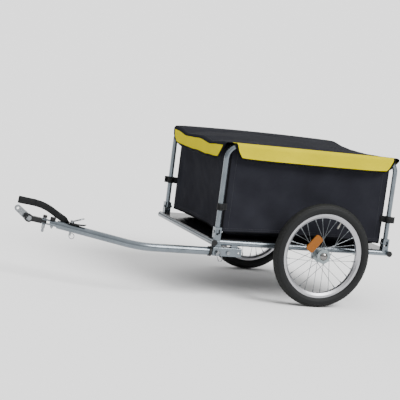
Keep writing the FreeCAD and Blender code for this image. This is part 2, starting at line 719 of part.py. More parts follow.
def hitch_nut():
    """Lock nut behind the axle plate."""
    seat = EYE_CENTRE + Y_AXIS * (EYE_HALF + 0.4 + PLATE_T + 0.3)
    return hexagon(seat, Y_AXIS, 15, 6).cut(rod(seat, Y_AXIS, 5, 6))


def stub_pin():
    """Pin through the drawbar, the stub and the safety strap, with an eye on top."""
    along, across, upright = bar_frame()
    middle = bar_point(STUB_PIN_BACK)
    shank = rod(middle - upright * (BAR_R + 12), upright, 4, 2 * BAR_R + 12 + STRAP_T + 2)
    head = rod(middle + upright * (BAR_R + STRAP_T + 2), upright, 7, 9)
    eye = rod(d_ring_centre() - across * 10, across, 2 + RUNNING_GAP, 20)
    lower_eye = Part.makeTorus(SPLIT_RING_R, SPLIT_WIRE_R + 0.2, split_ring_centre(), across)
    return without(fused([shank, head]), [eye, lower_eye])


def split_ring_centre():
    """Centre of the split ring that hangs from the stub pin's foot."""
    along, across, upright = bar_frame()
    hole = bar_point(STUB_PIN_BACK) - upright * (BAR_R + 7.5)
    return hole + (-along - upright * 0.7).normalize() * SPLIT_RING_R


def split_ring():
    """Round wire ring through the stub pin's foot."""
    along, across, upright = bar_frame()
    return Part.makeTorus(SPLIT_RING_R, SPLIT_WIRE_R, split_ring_centre(), across)


def d_ring_centre():
    """Hinge point of the D ring, in the stub pin's eye."""
    along, across, upright = bar_frame()
    return bar_point(STUB_PIN_BACK) + upright * (BAR_R + STRAP_T + 7)


def d_ring():
    """D-shaped wire ring that leans back over the strap's tail."""
    along, across, upright = bar_frame()
    centre = d_ring_centre()
    back = (upright * D_RING_REST_SLOPE - along).normalize()
    corners = [centre + across * 15, centre + across * 15 + back * 44]
    corners += [centre - across * 15 + back * 44, centre - across * 15]
    bow = bent_bar(corners, (14.8, 14.8), 2)
    bar = rod(centre - across * 15, across, 2, 30)
    ends = [Part.makeSphere(2, centre + across * way * 15) for way in (-1, 1)]
    return fused([bow, bar] + ends)


def strap_route():
    """Middle of the webbing, from its tail over the pin to the end that ties to the bicycle."""
    upright = bar_frame()[2]
    lift = BAR_R + 0.6 + STRAP_T / 2
    tail = ((50, 6), (24, 0), (-12, 0.5))
    route = [bar_point(STUB_PIN_BACK + back) + upright * (lift + rise) for back, rise in tail]
    route += [V(-958, -110, 241), V(-990, -94, 262), V(-1028, -85, 276), V(-1068, -81, 281)]
    return route


def safety_strap():
    """Doubled webbing, its end past the hitch folded back into a loop."""
    along, across, upright = bar_frame()
    route = strap_route()
    radii = []
    for before, corner, after in zip(route, route[1:], route[2:]):
        turn = math.pi - (before - corner).getAngle(after - corner)
        shorter = min((before - corner).Length, (after - corner).Length)
        radii.append(0.45 * shorter / math.tan(max(turn, 0.02) / 2))
    path = rounded_wire(route, radii)
    half = V(across) * (STRAP_WIDTH / 2)
    thick = V(upright) * (STRAP_T / 2)
    start = route[0]
    corners = [start - half - thick, start + half - thick, start + half + thick, start - half + thick]
    outline = Part.makePolygon(corners + corners[:1])
    shell = Part.BRepOffsetAPI.MakePipeShell(path)
    shell.setBiNormalMode(across)
    shell.add(outline, False, False)
    shell.build()
    shell.makeSolid()
    band = shell.shape()
    middle = bar_point(STUB_PIN_BACK)
    print("safety strap radii mm:", [round(r) for r in radii], "length mm:", round(path.Length, 1))
    return band.cut(rod(middle, upright, 4.3, 40))


# ---------------------------------------------------------------- the whole trailer


def build():
    """Every node of the trailer, laid out about the wheel axis."""
    nodes = {}
    front, rear = cross_tube(FRONT_TUBE_X), cross_tube(REAR_TUBE_X)
    rails = {name: side_rail(way * RAIL_Y) for name, way in SIDES}
    shanks = [rod(place - Z_AXIS * 4, Z_AXIS, 2.0, 12) for place in rivet_places()]
    solid_tubes = [rod(V(x, -CROSS_TUBE_HALF, RAIL_Z), Y_AXIS, RAIL_R, 2 * CROSS_TUBE_HALF)
                   for x in (FRONT_TUBE_X, REAR_TUBE_X)]
    solid_tubes += [rod(V(FRONT_TUBE_X, way * RAIL_Y, RAIL_Z), X_AXIS, RAIL_R, REAR_TUBE_X - FRONT_TUBE_X)
                    for name, way in SIDES]
    nodes["front_cross_tube"] = without(front, shanks)
    nodes["rear_cross_tube"] = without(rear, shanks)
    nodes["tube_end_plugs"] = end_plugs()
    nodes["floor_panel"] = without(floor_panel(), shanks)
    nodes["floor_rivets"] = rivets()
    nodes["hoop_pivot_bolts"] = hoop_bolts()
    nodes["lock_nuts"] = lock_nuts()
    nodes["bag_walls"] = bag_walls()
    nodes["bag_floor"] = bag_floor()
    nodes["cover_top"] = cover_top()
    nodes["cover_skirt"] = cover_skirt()
    nodes["drawbar_bracket"] = drawbar_bracket()
    nodes["drawbar_pivot_bolt"] = pivot_bolt()
    nodes["drawbar_tube"] = drawbar_tube()
    nodes["drawbar_bush"] = drawbar_bush()
    nodes["drawbar_collar"] = drawbar_collar()
    nodes["lock_pin"] = lock_pin()
    nodes["lock_pin_bail"] = lock_pin_bail()
    nodes["hitch_stub"] = hitch_stub()
    nodes["hitch_pin"] = hitch_pin()
    nodes["hitch_pin_clip"] = hitch_clip()
    for name in KNOB_BACK:
        nodes[name] = knob(name)
    nodes["hitch_clamp_bolt"] = clamp_bolt()
    nodes["hitch_arm"] = hitch_arm()
    nodes["hitch_bolt"] = hitch_bolt()
    nodes["hitch_nut"] = hitch_nut()
    nodes["axle_plate"] = axle_plate()
    nodes["stub_pin"] = stub_pin()
    nodes["split_ring"] = split_ring()
    nodes["d_ring"] = d_ring()
    nodes["safety_strap"] = safety_strap()
    wheel_parts = {"tyre": tyre(), "rim": rim(), "spokes": spokes(), "hub": hub(), "bearings": bearings()}
    wheel_parts.update({"hub_cap": hub_cap(), "reflector": reflector(), "valve": valve(), "axle": axle()})
    for name, way in SIDES:
        mirrored = way > 0
        nodes[name + "_side_rail"] = without(rails[name], shanks)
        mount = axle_mount()
        nodes[name + "_axle_mount"] = mount.mirror(V(0, 0, 0), Y_AXIS) if mirrored else mount
        nodes[name + "_hoop"] = hoop(way * HOOP_Y)
        brackets = [hoop_bracket(x, way, solid_tubes) for x in (HOOP_FRONT_X, HOOP_REAR_X)]
        nodes[name + "_hoop_brackets"] = Part.makeCompound(brackets)
        nodes[name + "_corner_straps"] = corner_straps(name, way)
        for part, shape in wheel_parts.items():
            piece = shape.mirror(V(0, 0, 0), Y_AXIS) if mirrored else shape.copy()
            piece.translate(V(0, way * TRACK / 2, WHEEL_R))
            nodes[name + "_" + part] = piece
    return nodes


def origin_shift(nodes):
    """The move that brings the bottom centre of the bounding box to the origin."""
    low, high = V(1e9, 1e9, 1e9), V(-1e9, -1e9, -1e9)
    for shape in nodes.values():
        bound = shape.optimalBoundingBox(False, False)
        low = V(min(low.x, bound.XMin), min(low.y, bound.YMin), min(low.z, bound.ZMin))
        high = V(max(high.x, bound.XMax), max(high.y, bound.YMax), max(high.z, bound.ZMax))
    return V(-(low.x + high.x) / 2, -(low.y + high.y) / 2, -low.z)


NODES = build()
SHIFT = origin_shift(NODES)

os.makedirs("parts", exist_ok=True)
for node, shape in NODES.items():
    shape.translate(SHIFT)
    shape.exportStep("parts/" + node + ".step")
print(len(NODES), "nodes, moved by", [round(c, 2) for c in SHIFT])
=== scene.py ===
# %% [markdown]
# A bicycle cargo trailer in cells: first the engineered parts are loaded, then the camera is placed, and then each
# finish and each soft piece is made. Everything is in metres, +Z up and +X towards the trailer's rear.

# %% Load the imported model
import bpy
import bmesh
import math
from mathutils import Matrix, Vector, noise


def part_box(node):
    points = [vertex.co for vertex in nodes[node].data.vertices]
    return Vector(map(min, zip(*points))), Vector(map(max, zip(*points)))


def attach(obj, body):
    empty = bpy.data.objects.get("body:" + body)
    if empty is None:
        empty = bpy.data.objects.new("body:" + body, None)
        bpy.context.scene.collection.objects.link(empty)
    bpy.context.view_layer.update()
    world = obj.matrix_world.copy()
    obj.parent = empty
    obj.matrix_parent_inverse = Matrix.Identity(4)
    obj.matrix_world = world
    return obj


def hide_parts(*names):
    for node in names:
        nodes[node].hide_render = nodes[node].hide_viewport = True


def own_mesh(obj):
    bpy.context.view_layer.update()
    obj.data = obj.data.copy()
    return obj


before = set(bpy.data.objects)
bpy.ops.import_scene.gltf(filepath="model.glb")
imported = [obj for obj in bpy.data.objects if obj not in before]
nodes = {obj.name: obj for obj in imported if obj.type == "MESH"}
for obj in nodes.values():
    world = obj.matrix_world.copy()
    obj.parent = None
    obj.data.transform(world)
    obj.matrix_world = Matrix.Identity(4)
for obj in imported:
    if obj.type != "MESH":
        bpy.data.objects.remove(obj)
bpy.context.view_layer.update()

# %% [markdown]
# The camera stands to the left of the trailer and ahead of it, a little above the load, with a long lens. The
# trailer is modelled level, while a hitched one leans back a few degrees, so the camera is rolled to match that.

# %% Camera
CAMERA_PLACE = Vector((-1.785, -4.530, 0.942))
CAMERA_HEADING = math.radians(21.72)
CAMERA_DOWN = math.radians(7.26)
CAMERA_ROLL = math.radians(7.35)
LENS_MM = 115.3
SENSOR_MM = 36.0


def make_camera():
    """A camera that looks along a heading from +Y, tipped down and rolled."""
    ahead = Vector((math.sin(CAMERA_HEADING) * math.cos(CAMERA_DOWN),
                    math.cos(CAMERA_HEADING) * math.cos(CAMERA_DOWN), -math.sin(CAMERA_DOWN)))
    level = Vector((math.cos(CAMERA_HEADING), -math.sin(CAMERA_HEADING), 0))
    upright = level.cross(ahead)
    right = level * math.cos(CAMERA_ROLL) + upright * math.sin(CAMERA_ROLL)
    up = right.cross(ahead)
    data = bpy.data.cameras.new("camera")
    data.lens, data.sensor_width = LENS_MM, SENSOR_MM
    data.clip_start, data.clip_end = 0.1, 50.0
    camera = bpy.data.objects.new("camera", data)
    camera.matrix_world = Matrix((
        (right.x, up.x, -ahead.x, CAMERA_PLACE.x), (right.y, up.y, -ahead.y, CAMERA_PLACE.y),
        (right.z, up.z, -ahead.z, CAMERA_PLACE.z), (0, 0, 0, 1)))
    bpy.context.scene.collection.objects.link(camera)
    bpy.context.scene.camera = camera
    return camera


camera = make_camera()
print("camera", [round(c, 2) for c in camera.location])

# %% [markdown]
# Meshes and materials share a few helpers. Colours are written as sRGB hex values and turned to linear values as
# they are used, because shaders work in linear light.

# %% Helpers
MM = 0.001
SIDES = ("left", "right")


def linear(hex_colour):
    """An sRGB hex colour as linear RGBA."""
    values = [int(hex_colour[i:i + 2], 16) / 255 for i in (1, 3, 5)]
    return [c / 12.92 if c <= 0.04045 else ((c + 0.055) / 1.055) ** 2.4 for c in values] + [1.0]


def placed(piece):
    """Links an object to the scene; it stays at the origin."""
    bpy.context.scene.collection.objects.link(piece)
    return piece


def mesh_object(name, points, faces):
    """A new mesh object at the origin."""
    mesh = bpy.data.meshes.new(name)
    mesh.from_pydata([tuple(p) for p in points], [], faces)
    mesh.validate()
    return placed(bpy.data.objects.new(name, mesh))


def smooth(piece):
    """Smooth shading on every face."""
    for polygon in piece.data.polygons:
        polygon.use_smooth = True
    return piece


def new_material(name):
    """An empty node material with its Principled shader."""
    material = bpy.data.materials.new(name)
    material.use_nodes = True
    return material, material.node_tree, material.node_tree.nodes["Principled BSDF"]


def add(tree, kind, settings=None, links=None):
    """Adds a node, sets its properties and input sockets, and links other nodes' outputs to its inputs."""
    node = tree.nodes.new(kind)
    for key, value in (settings or {}).items():
        if isinstance(key, str) and key.islower() and hasattr(node, key):
            setattr(node, key, value)
        else:
            node.inputs[key].default_value = value
    for key, output in (links or {}).items():
        tree.links.new(output, node.inputs[key])
    return node


def dress(material, *names):
    """Gives a material to CAD parts."""
    for name in names:
        data = nodes[name].data
        data.materials.clear()
        data.materials.append(material)


print("sRGB #808080 is linear", round(linear("#808080")[0], 3))

# %% [markdown]
# Tubes, brackets and the drawbar of such a trailer are mild steel, sprayed silver-grey and baked. The enamel has fine
# metal flake in it, so it is mostly metallic with a soft gloss, and dust and handling leave it slightly uneven. Noise
# on the parts' own coordinates gives that, and nothing here needs unwrapping.


# %% Shader helpers
def grain(tree, size_mm, detail=3.0, roughness=0.6, stretch=(1, 1, 1)):
    """Noise whose blotches are about size_mm across, on the piece's own coordinates."""
    place = add(tree, "ShaderNodeTexCoord")
    scaled = add(tree, "ShaderNodeMapping", {"Scale": stretch}, {"Vector": place.outputs["Object"]})
    settings = {"Scale": 1 / (size_mm * MM), "Detail": detail, "Roughness": roughness}
    return add(tree, "ShaderNodeTexNoise", settings, {"Vector": scaled.outputs[0]}).outputs["Fac"]


def tones(tree, source, *stops):
    """A colour ramp over a value; each stop is (place, hex colour)."""
    ramp = add(tree, "ShaderNodeValToRGB", {}, {"Fac": source})
    band = ramp.color_ramp
    while len(band.elements) < len(stops):
        band.elements.new(0.5)
    for element, (place, colour) in zip(band.elements, stops):
        element.position, element.color = place, linear(colour)
    return ramp.outputs["Color"]


def spread(tree, source, low, high, start=0.0, end=1.0):
    """A value moved from start..end to low..high."""
    settings = {"From Min": start, "From Max": end, "To Min": low, "To Max": high}
    return add(tree, "ShaderNodeMapRange", settings, {"Value": source}).outputs["Result"]


def bump(tree, shader, height, depth_mm, strength=1.0):
    """Turns a height of 0 to 1 into relief depth_mm deep on the shader's normal."""
    settings = {"Distance": depth_mm * MM, "Strength": strength}
    relief = add(tree, "ShaderNodeBump", settings, {"Height": height})
    tree.links.new(relief.outputs["Normal"], shader.inputs["Normal"])


print("a 60 mm grain is noise of scale", round(1 / (60 * MM), 1))


# %% Finishes of the metal parts
def silver_enamel():
    """Baked silver-grey enamel on steel tube: satin, with faint flake and scuffs."""
    material, tree, shader = new_material("silver_enamel")
    cloudy = grain(tree, 60)
    tree.links.new(tones(tree, cloudy, (0.3, "#5F676D"), (0.7, "#727A81")), shader.inputs["Base Color"])
    scuffs = grain(tree, 7, 5, 0.7, (1, 1, 0.35))
    tree.links.new(spread(tree, scuffs, 0.2, 0.27, 0.35, 0.7), shader.inputs["Roughness"])
    shader.inputs["Metallic"].default_value = 0.7
    shader.inputs["Coat Weight"].default_value = 0.25
    shader.inputs["Coat Roughness"].default_value = 0.2
    bump(tree, shader, grain(tree, 9), 0.02, 0.25)
    return material


def bright_metal(name, light, dark, rough):
    """Bare or plated metal, bright and faintly clouded."""
    material, tree, shader = new_material(name)
    tree.links.new(tones(tree, grain(tree, 5), (0.35, dark), (0.7, light)), shader.inputs["Base Color"])
    tree.links.new(spread(tree, grain(tree, 2.5), rough, rough + 0.16), shader.inputs["Roughness"])
    shader.inputs["Metallic"].default_value = 1.0
    return material


def floor_enamel():
    """Black stoved enamel on the sheet floor: smooth, glossy, with a faint ripple from rolling."""
    material, tree, shader = new_material("black_stoved_enamel")
    tree.links.new(tones(tree, grain(tree, 40, 4), (0.3, "#0C0C0E"), (0.75, "#131316")),
                   shader.inputs["Base Color"])
    tree.links.new(spread(tree, grain(tree, 9), 0.12, 0.22), shader.inputs["Roughness"])
    shader.inputs["IOR"].default_value = 1.5
    bump(tree, shader, grain(tree, 45, 1, 0.6, (1, 3, 1)), 0.05, 0.3)
    return material


enamel = silver_enamel()
# Fasteners are zinc plated steel, clouded by the plate's passivation.
zinc = bright_metal("zinc_plated_steel", "#9C9FA2", "#6C7074", 0.16)
# Spokes are drawn stainless wire.
stainless = bright_metal("stainless_spoke_wire", "#8F9396", "#6E7376", 0.22)
# The hub shell is cast aluminium, a little rougher.
hub_metal = bright_metal("cast_aluminium_hub", "#A2AAAC", "#7C8689", 0.28)
# The valve stem is nickel plated brass, a little warmer.
nickel = bright_metal("nickel_plated_valve_stem", "#BDBBB4", "#98968F", 0.24)
sheet_steel = floor_enamel()

PAINTED = ["front_cross_tube", "rear_cross_tube", "drawbar_bracket", "drawbar_tube", "hitch_stub"]
ZINCED = ["hoop_pivot_bolts", "lock_nuts", "drawbar_pivot_bolt", "lock_pin", "lock_pin_bail", "hitch_pin",
          "hitch_pin_clip", "hitch_clamp_bolt", "hitch_bolt", "hitch_nut", "axle_plate", "stub_pin",
          "split_ring", "d_ring"]
dress(enamel, *PAINTED)
dress(zinc, *ZINCED)
dress(sheet_steel, "floor_panel", "floor_rivets")
for side in SIDES:
    dress(enamel, side + "_side_rail", side + "_axle_mount", side + "_hoop", side + "_hoop_brackets")
    dress(stainless, side + "_spokes")
    dress(hub_metal, side + "_hub")
    dress(zinc, side + "_axle", side + "_bearings")
    dress(nickel, side + "_valve")
print("metal finishes:", enamel.name, zinc.name, stainless.name, hub_metal.name, nickel.name, sheet_steel.name)

# %% [markdown]
# Rims of this class are extruded aluminium, rolled and clear anodised, which leaves fine lines round the rim, and the
# hub caps are moulded plastic, chromed over the lines of a turned mould. The lines are rings about the axle, so the
# distance from the axle drives them.


# %% Rims and hub caps
TYRE_LOW, TYRE_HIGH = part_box("left_tyre")
AXLE = (TYRE_LOW + TYRE_HIGH) / 2


def axle_distance(tree):
    """Distance from the wheels' common axle line, in metres."""
    place = add(tree, "ShaderNodeTexCoord")
    shifted = add(tree, "ShaderNodeVectorMath", {"operation": "SUBTRACT", 1: (AXLE.x, 0, AXLE.z)},
                  {0: place.outputs["Object"]})
    flat = add(tree, "ShaderNodeVectorMath", {"operation": "MULTIPLY", 1: (1, 0, 1)}, {0: shifted.outputs[0]})
    return add(tree, "ShaderNodeVectorMath", {"operation": "LENGTH"}, {0: flat.outputs[0]}).outputs["Value"]


def ring_noise(tree, line_mm):
    """Noise in rings about the axle, line_mm from one to the next."""
    return add(tree, "ShaderNodeTexNoise", {"noise_dimensions": "1D", "Scale": 1 / (line_mm * MM)},
               {"W": axle_distance(tree)}).outputs["Fac"]


def turned_metal(name, light, dark, rough, line_mm):
    """A metal surface with fine rings about the axle."""
    material, tree, shader = new_material(name)
    rings = ring_noise(tree, line_mm)
    tree.links.new(tones(tree, rings, (0.3, dark), (0.7, light)), shader.inputs["Base Color"])
    tree.links.new(spread(tree, rings, rough, rough + 0.12), shader.inputs["Roughness"])
    shader.inputs["Metallic"].default_value = 1.0
    bump(tree, shader, rings, 0.02, 0.4)
    return material


rim_metal = turned_metal("anodised_aluminium_rim", "#C0C0C4", "#A6A6AA", 0.3, 0.8)
cap_metal = turned_metal("chromed_plastic_cap", "#8E8C8A", "#72706E", 0.16, 1.5)
for side in SIDES:
    dress(rim_metal, side + "_rim")
    dress(cap_metal, side + "_hub_cap")
print("rim and cap finishes made")

# %% [markdown]
# Black plastic and rubber differ by gloss and grain: the hitch arm and knobs are glass-filled nylon with a fine
# spark-eroded texture, while the collar and the tube plugs are softer and duller.


# %% Plastics and rubber
def moulded(name, colour, lighter, rough, grain_mm):
    """Moulded black plastic or rubber: a fine even grain and slightly uneven gloss."""
    material, tree, shader = new_material(name)
    tree.links.new(tones(tree, grain(tree, 12), (0.3, colour), (0.8, lighter)), shader.inputs["Base Color"])
    tree.links.new(spread(tree, grain(tree, 4), rough - 0.06, rough + 0.1), shader.inputs["Roughness"])
    shader.inputs["Specular IOR Level"].default_value = 0.3
    bump(tree, shader, grain(tree, grain_mm), 0.08, 0.6)
    return material


def tyre_compound():
    """Black tyre rubber: matt, dusty grey towards the tread, with fine mould lines round the wall."""
    material, tree, shader = new_material("tyre_rubber_compound")
    radius = (TYRE_HIGH.z - TYRE_LOW.z) / 2
    worn = spread(tree, axle_distance(tree), 0.0, 1.0, radius - 16 * MM, radius)
    dusty = add(tree, "ShaderNodeMath", {"operation": "MULTIPLY"}, {0: worn, 1: grain(tree, 14, 5)})
    tree.links.new(tones(tree, dusty.outputs[0], (0.0, "#121314"), (0.8, "#252624")),
                   shader.inputs["Base Color"])
    tree.links.new(spread(tree, grain(tree, 6), 0.55, 0.72), shader.inputs["Roughness"])
    shader.inputs["Specular IOR Level"].default_value = 0.25
    bump(tree, shader, ring_noise(tree, 0.9), 0.1, 0.5)
    return material


# The hitch arm, the hand knobs and the drawbar's bush are glass-filled nylon.
nylon = moulded("moulded_nylon", "#0B0B0D", "#151618", 0.38, 0.7)
# The collar and the tube plugs are soft rubber mouldings.
soft_black = moulded("black_rubber_moulding", "#0F1011", "#1A1B1C", 0.6, 1.0)
tyre_rubber = tyre_compound()
dress(nylon, "hitch_arm", "hitch_pin_knob", "clamp_knob", "drawbar_bush")
dress(soft_black, "drawbar_collar", "tube_end_plugs")
print("plastic and rubber finishes made")

# %% [markdown]
# A wheel reflector is clear orange acrylic with a field of tiny corner prisms on its back. Through the smooth front
# these read as a regular sparkle, so the shader is a glossy coloured plastic whose relief is a grid of cells.


# %% Reflectors
def prism_acrylic():
    """Orange acrylic over corner prisms about 2.5 mm across, drawn that coarse so that they show."""
    material, tree, shader = new_material("orange_prism_acrylic")
    place = add(tree, "ShaderNodeTexCoord")
    cells = add(tree, "ShaderNodeTexVoronoi", {"Scale": 1 / (2.5 * MM), "Randomness": 0.1},
                {"Vector": place.outputs["Object"]})
    facets = spread(tree, cells.outputs["Distance"], 0.0, 1.0, 0.0, 0.7)
    tree.links.new(tones(tree, facets, (0.1, "#A86200"), (0.8, "#7C4600")), shader.inputs["Base Color"])
    shader.inputs["Roughness"].default_value = 0.12
    shader.inputs["IOR"].default_value = 1.49
    shader.inputs["Specular IOR Level"].default_value = 0.35
    bump(tree, shader, facets, 0.5, 0.8)
    return material


reflector_orange = prism_acrylic()
dress(reflector_orange, "left_reflector", "right_reflector")
print("reflectors dressed")

# %% [markdown]
# Everything sewn or moulded in rows is made by Geometry Nodes. Modelling each stitch or tread block by hand would
# take for ever, and an image of them would be flat. A tree is built here in code with named inputs, runs once on a
# piece, and is turned into plain mesh, so that the piece then rides and exports like any other.


# %% Geometry Nodes helpers
SOCKETS = {"Count": "NodeSocketInt", "Material": "NodeSocketMaterial"}


def new_tree(name, *inputs):
    """A geometry node tree with geometry in and out and the named inputs."""
    tree = bpy.data.node_groups.new(name, "GeometryNodeTree")
    tree.interface.new_socket(name="Geometry", in_out="INPUT", socket_type="NodeSocketGeometry")
    for label in inputs:
        kind = SOCKETS.get(label, "NodeSocketFloat")
        tree.interface.new_socket(name=label, in_out="INPUT", socket_type=kind)
    tree.interface.new_socket(name="Geometry", in_out="OUTPUT", socket_type="NodeSocketGeometry")
    return tree, tree.nodes.new("NodeGroupInput"), tree.nodes.new("NodeGroupOutput")


def finish_tree(tree, start, end, geometry):
    """Makes instances real, gives them the tree's material and ends the tree."""
    real = add(tree, "GeometryNodeRealizeInstances", {}, {"Geometry": geometry})
    done = add(tree, "GeometryNodeSetMaterial", {}, {"Geometry": real.outputs[0],
                                                     "Material": start.outputs["Material"]})
    tree.links.new(done.outputs[0], end.inputs[0])
    return tree


def run_tree(piece, tree, **values):
    """Runs a tree on a piece once and leaves plain mesh behind."""
    modifier = piece.modifiers.new("tree", "NODES")
    modifier.node_group = tree
    for item in tree.interface.items_tree:
        if item.in_out == "INPUT" and item.name in values:
            modifier[item.identifier] = values[item.name]
    return settle(piece)


def settle(piece):
    """Applies every modifier of a piece and keeps its name."""
    bpy.context.view_layer.update()
    graph = bpy.context.evaluated_depsgraph_get()
    mesh = bpy.data.meshes.new_from_object(piece.evaluated_get(graph), depsgraph=graph)
    old = piece.data
    piece.modifiers.clear()
    piece.data = mesh
    bpy.data.meshes.remove(old)
    mesh.name = piece.name
    return piece


print("inputs that aren't plain numbers:", sorted(SOCKETS))

# %% Stitches and piping
def even_points(tree, start):
    """The edges of the piece as a curve, with a point at every pitch."""
    line = add(tree, "GeometryNodeMeshToCurve", {}, {"Mesh": start.outputs["Geometry"]})
    return add(tree, "GeometryNodeResampleCurve", {"mode": "LENGTH"},
               {"Curve": line.outputs[0], "Length": start.outputs["Pitch"]}).outputs[0]


def stitch_tree():
    """Short rounded threads laid end to end along the edges of a mesh."""
    tree, start, end = new_tree("stitches", "Pitch", "Length", "Radius", "Material")
    bead = add(tree, "GeometryNodeMeshUVSphere", {"Segments": 6, "Rings": 4, "Radius": 1.0})
    half = add(tree, "ShaderNodeMath", {"operation": "MULTIPLY", 1: 0.5}, {0: start.outputs["Length"]})
    size = add(tree, "ShaderNodeCombineXYZ", {}, {"X": start.outputs["Radius"], "Y": start.outputs["Radius"],
                                                  "Z": half.outputs[0]})
    thread = add(tree, "GeometryNodeTransform", {}, {"Geometry": bead.outputs["Mesh"],
                                                     "Scale": size.outputs[0]})
    along = add(tree, "GeometryNodeInputTangent")
    turn = add(tree, "FunctionNodeAlignRotationToVector", {"axis": "Z"}, {"Vector": along.outputs[0]})
    rows = add(tree, "GeometryNodeInstanceOnPoints", {}, {"Points": even_points(tree, start),
                                                          "Instance": thread.outputs[0],
                                                          "Rotation": turn.outputs[0]})
    return finish_tree(tree, start, end, rows.outputs[0])


def piping_tree():
    """A round bead that follows the edges of a mesh."""
    tree, start, end = new_tree("piping", "Pitch", "Radius", "Material")
    section = add(tree, "GeometryNodeCurvePrimitiveCircle", {"Resolution": 8},
                  {"Radius": start.outputs["Radius"]})
    tube = add(tree, "GeometryNodeCurveToMesh", {"Fill Caps": True},
               {"Curve": even_points(tree, start), "Profile Curve": section.outputs["Curve"]})
    return finish_tree(tree, start, end, tube.outputs[0])


def polylines(name, lines):
    """A mesh of bare edges, one chain for each line; a closed line repeats its first point."""
    points, edges = [], []
    for line in lines:
        first = len(points)
        closed = (Vector(line[0]) - Vector(line[-1])).length < 1e-7
        kept = line[:-1] if closed else line
        points += [tuple(p) for p in kept]
        edges += [(first + k, first + k + 1) for k in range(len(kept) - 1)]
        if closed:
            edges.append((first + len(kept) - 1, first))
    mesh = bpy.data.meshes.new(name)
    mesh.from_pydata(points, edges, [])
    return placed(bpy.data.objects.new(name, mesh))


STITCHES = stitch_tree()
PIPING = piping_tree()
print("trees", STITCHES.name, PIPING.name)

# %% [markdown]
# A 16 inch trailer tyre is moulded rubber: a round carcass with a rib or two on its wall and low blocks over the
# crown. A torus would do for the shape alone, but its wall would be smooth and closed. Here the carcass is its own
# section turned about the axle, and a tree sets the blocks on it in rows.

# %% Tyre carcass
TYRE_WALL = 3.2 * MM
TYRE_RIB = 0.55 * MM
TREAD_DEPTH = 1.3 * MM
TREAD_EDGE = 62
BEAD_DEGREES = 138


def turned(name, profile, centre, steps=160):
    """A closed section of (radius, offset along the axle) turned about the axle line through centre."""
    points, faces, count = [], [], len(profile)
    for step in range(steps):
        angle = math.tau * step / steps
        for radius, offset in profile:
            points.append((centre.x + radius * math.cos(angle), centre.y + offset,
                           centre.z + radius * math.sin(angle)))
        for k in range(count):
            a, b = step * count + k, step * count + (k + 1) % count
            shift = ((step + 1) % steps - step) * count
            faces.append((a, b, b + shift, a + shift))
    return outward(mesh_object(name, points, faces))


def outward(piece):
    """Turns every face of a closed mesh outwards."""
    work = bmesh.new()
    work.from_mesh(piece.data)
    bmesh.ops.remove_doubles(work, verts=work.verts, dist=1e-6)
    bmesh.ops.recalc_face_normals(work, faces=work.faces)
    work.to_mesh(piece.data)
    work.free()
    return smooth(piece)


def tyre_section(outer_radius, half_width):
    """The carcass: a round crown, two ribs on each wall, and beads that sit on the rim."""
    middle = outer_radius - half_width
    bulge = half_width - TREAD_DEPTH
    outside, inside = [], []
    thin = half_width - TYRE_WALL
    for degrees in range(-BEAD_DEGREES, BEAD_DEGREES + 1, 3):
        rib = TYRE_RIB if abs(degrees) in (99, 102, 120) else 0.0
        angle = math.radians(degrees)
        wide = (half_width + rib) if abs(degrees) > TREAD_EDGE else bulge
        outside.append((middle + wide * math.cos(angle), wide * math.sin(angle)))
        inside.append((middle + thin * math.cos(angle), thin * math.sin(angle)))
    return outside + inside[::-1]


print("carcass section of", len(tyre_section(0.195, 0.021)), "points")

# %% Tread, and the finished tyres
TREAD_COUNT = 84
BLOCK_LENGTH, BLOCK_WIDTH = 8.5 * MM, 6.0 * MM
# Each row of blocks: degrees from the crown, degrees of skew, and how far it is shifted as a share of a block's pitch.
TREAD_ROWS = ((0.0, 24, 0.0), (25.0, -20, 0.5), (-25.0, 20, 0.5), (47.0, 0, 0.0), (-47.0, 0, 0.0))


def tread_tree(radius, half_width, centre):
    """Adds rows of skewed blocks over the crown of a carcass."""
    tree, start, end = new_tree("tread", "Count", "Length", "Width", "Height", "Material")
    block_size = add(tree, "ShaderNodeCombineXYZ", {}, {"X": start.outputs["Length"],
                                                        "Y": start.outputs["Width"],
                                                        "Z": start.outputs["Height"]})
    block = add(tree, "GeometryNodeMeshCube", {}, {"Size": block_size.outputs[0]})
    rows = []
    for lean, skew, phase in TREAD_ROWS:
        angle = math.radians(lean)
        out = radius - half_width + (half_width - TREAD_DEPTH * 0.55) * math.cos(angle)
        circle = add(tree, "GeometryNodeMeshCircle", {"Radius": out}, {"Vertices": start.outputs["Count"]})
        offset = centre.y + (half_width - TREAD_DEPTH) * math.sin(angle)
        ring = add(tree, "GeometryNodeTransform",
                   {"Rotation": (math.pi / 2, math.tau * phase / TREAD_COUNT, 0)},
                   {"Geometry": circle.outputs["Mesh"]})
        place = add(tree, "GeometryNodeInputPosition")
        turn = add(tree, "FunctionNodeAlignRotationToVector", {"axis": "Z", "pivot_axis": "Y"},
                   {"Vector": place.outputs[0]})
        leant = add(tree, "FunctionNodeRotateRotation", {"rotation_space": "LOCAL", 1: (-angle, 0, 0)},
                    {"Rotation": turn.outputs[0]})
        skewed = add(tree, "FunctionNodeRotateRotation", {"rotation_space": "LOCAL", 1: (0, 0, math.radians(skew))},
                     {"Rotation": leant.outputs[0]})
        set_blocks = add(tree, "GeometryNodeInstanceOnPoints", {},
                         {"Points": ring.outputs[0], "Instance": block.outputs["Mesh"],
                          "Rotation": skewed.outputs[0]})
        moved = add(tree, "GeometryNodeTransform", {"Translation": (centre.x, offset, centre.z)},
                    {"Geometry": set_blocks.outputs[0]})
        rows.append(moved.outputs[0])
    joined = add(tree, "GeometryNodeJoinGeometry")
    for output in [start.outputs["Geometry"]] + rows:
        tree.links.new(output, joined.inputs[0])
    return finish_tree(tree, start, end, joined.outputs[0])


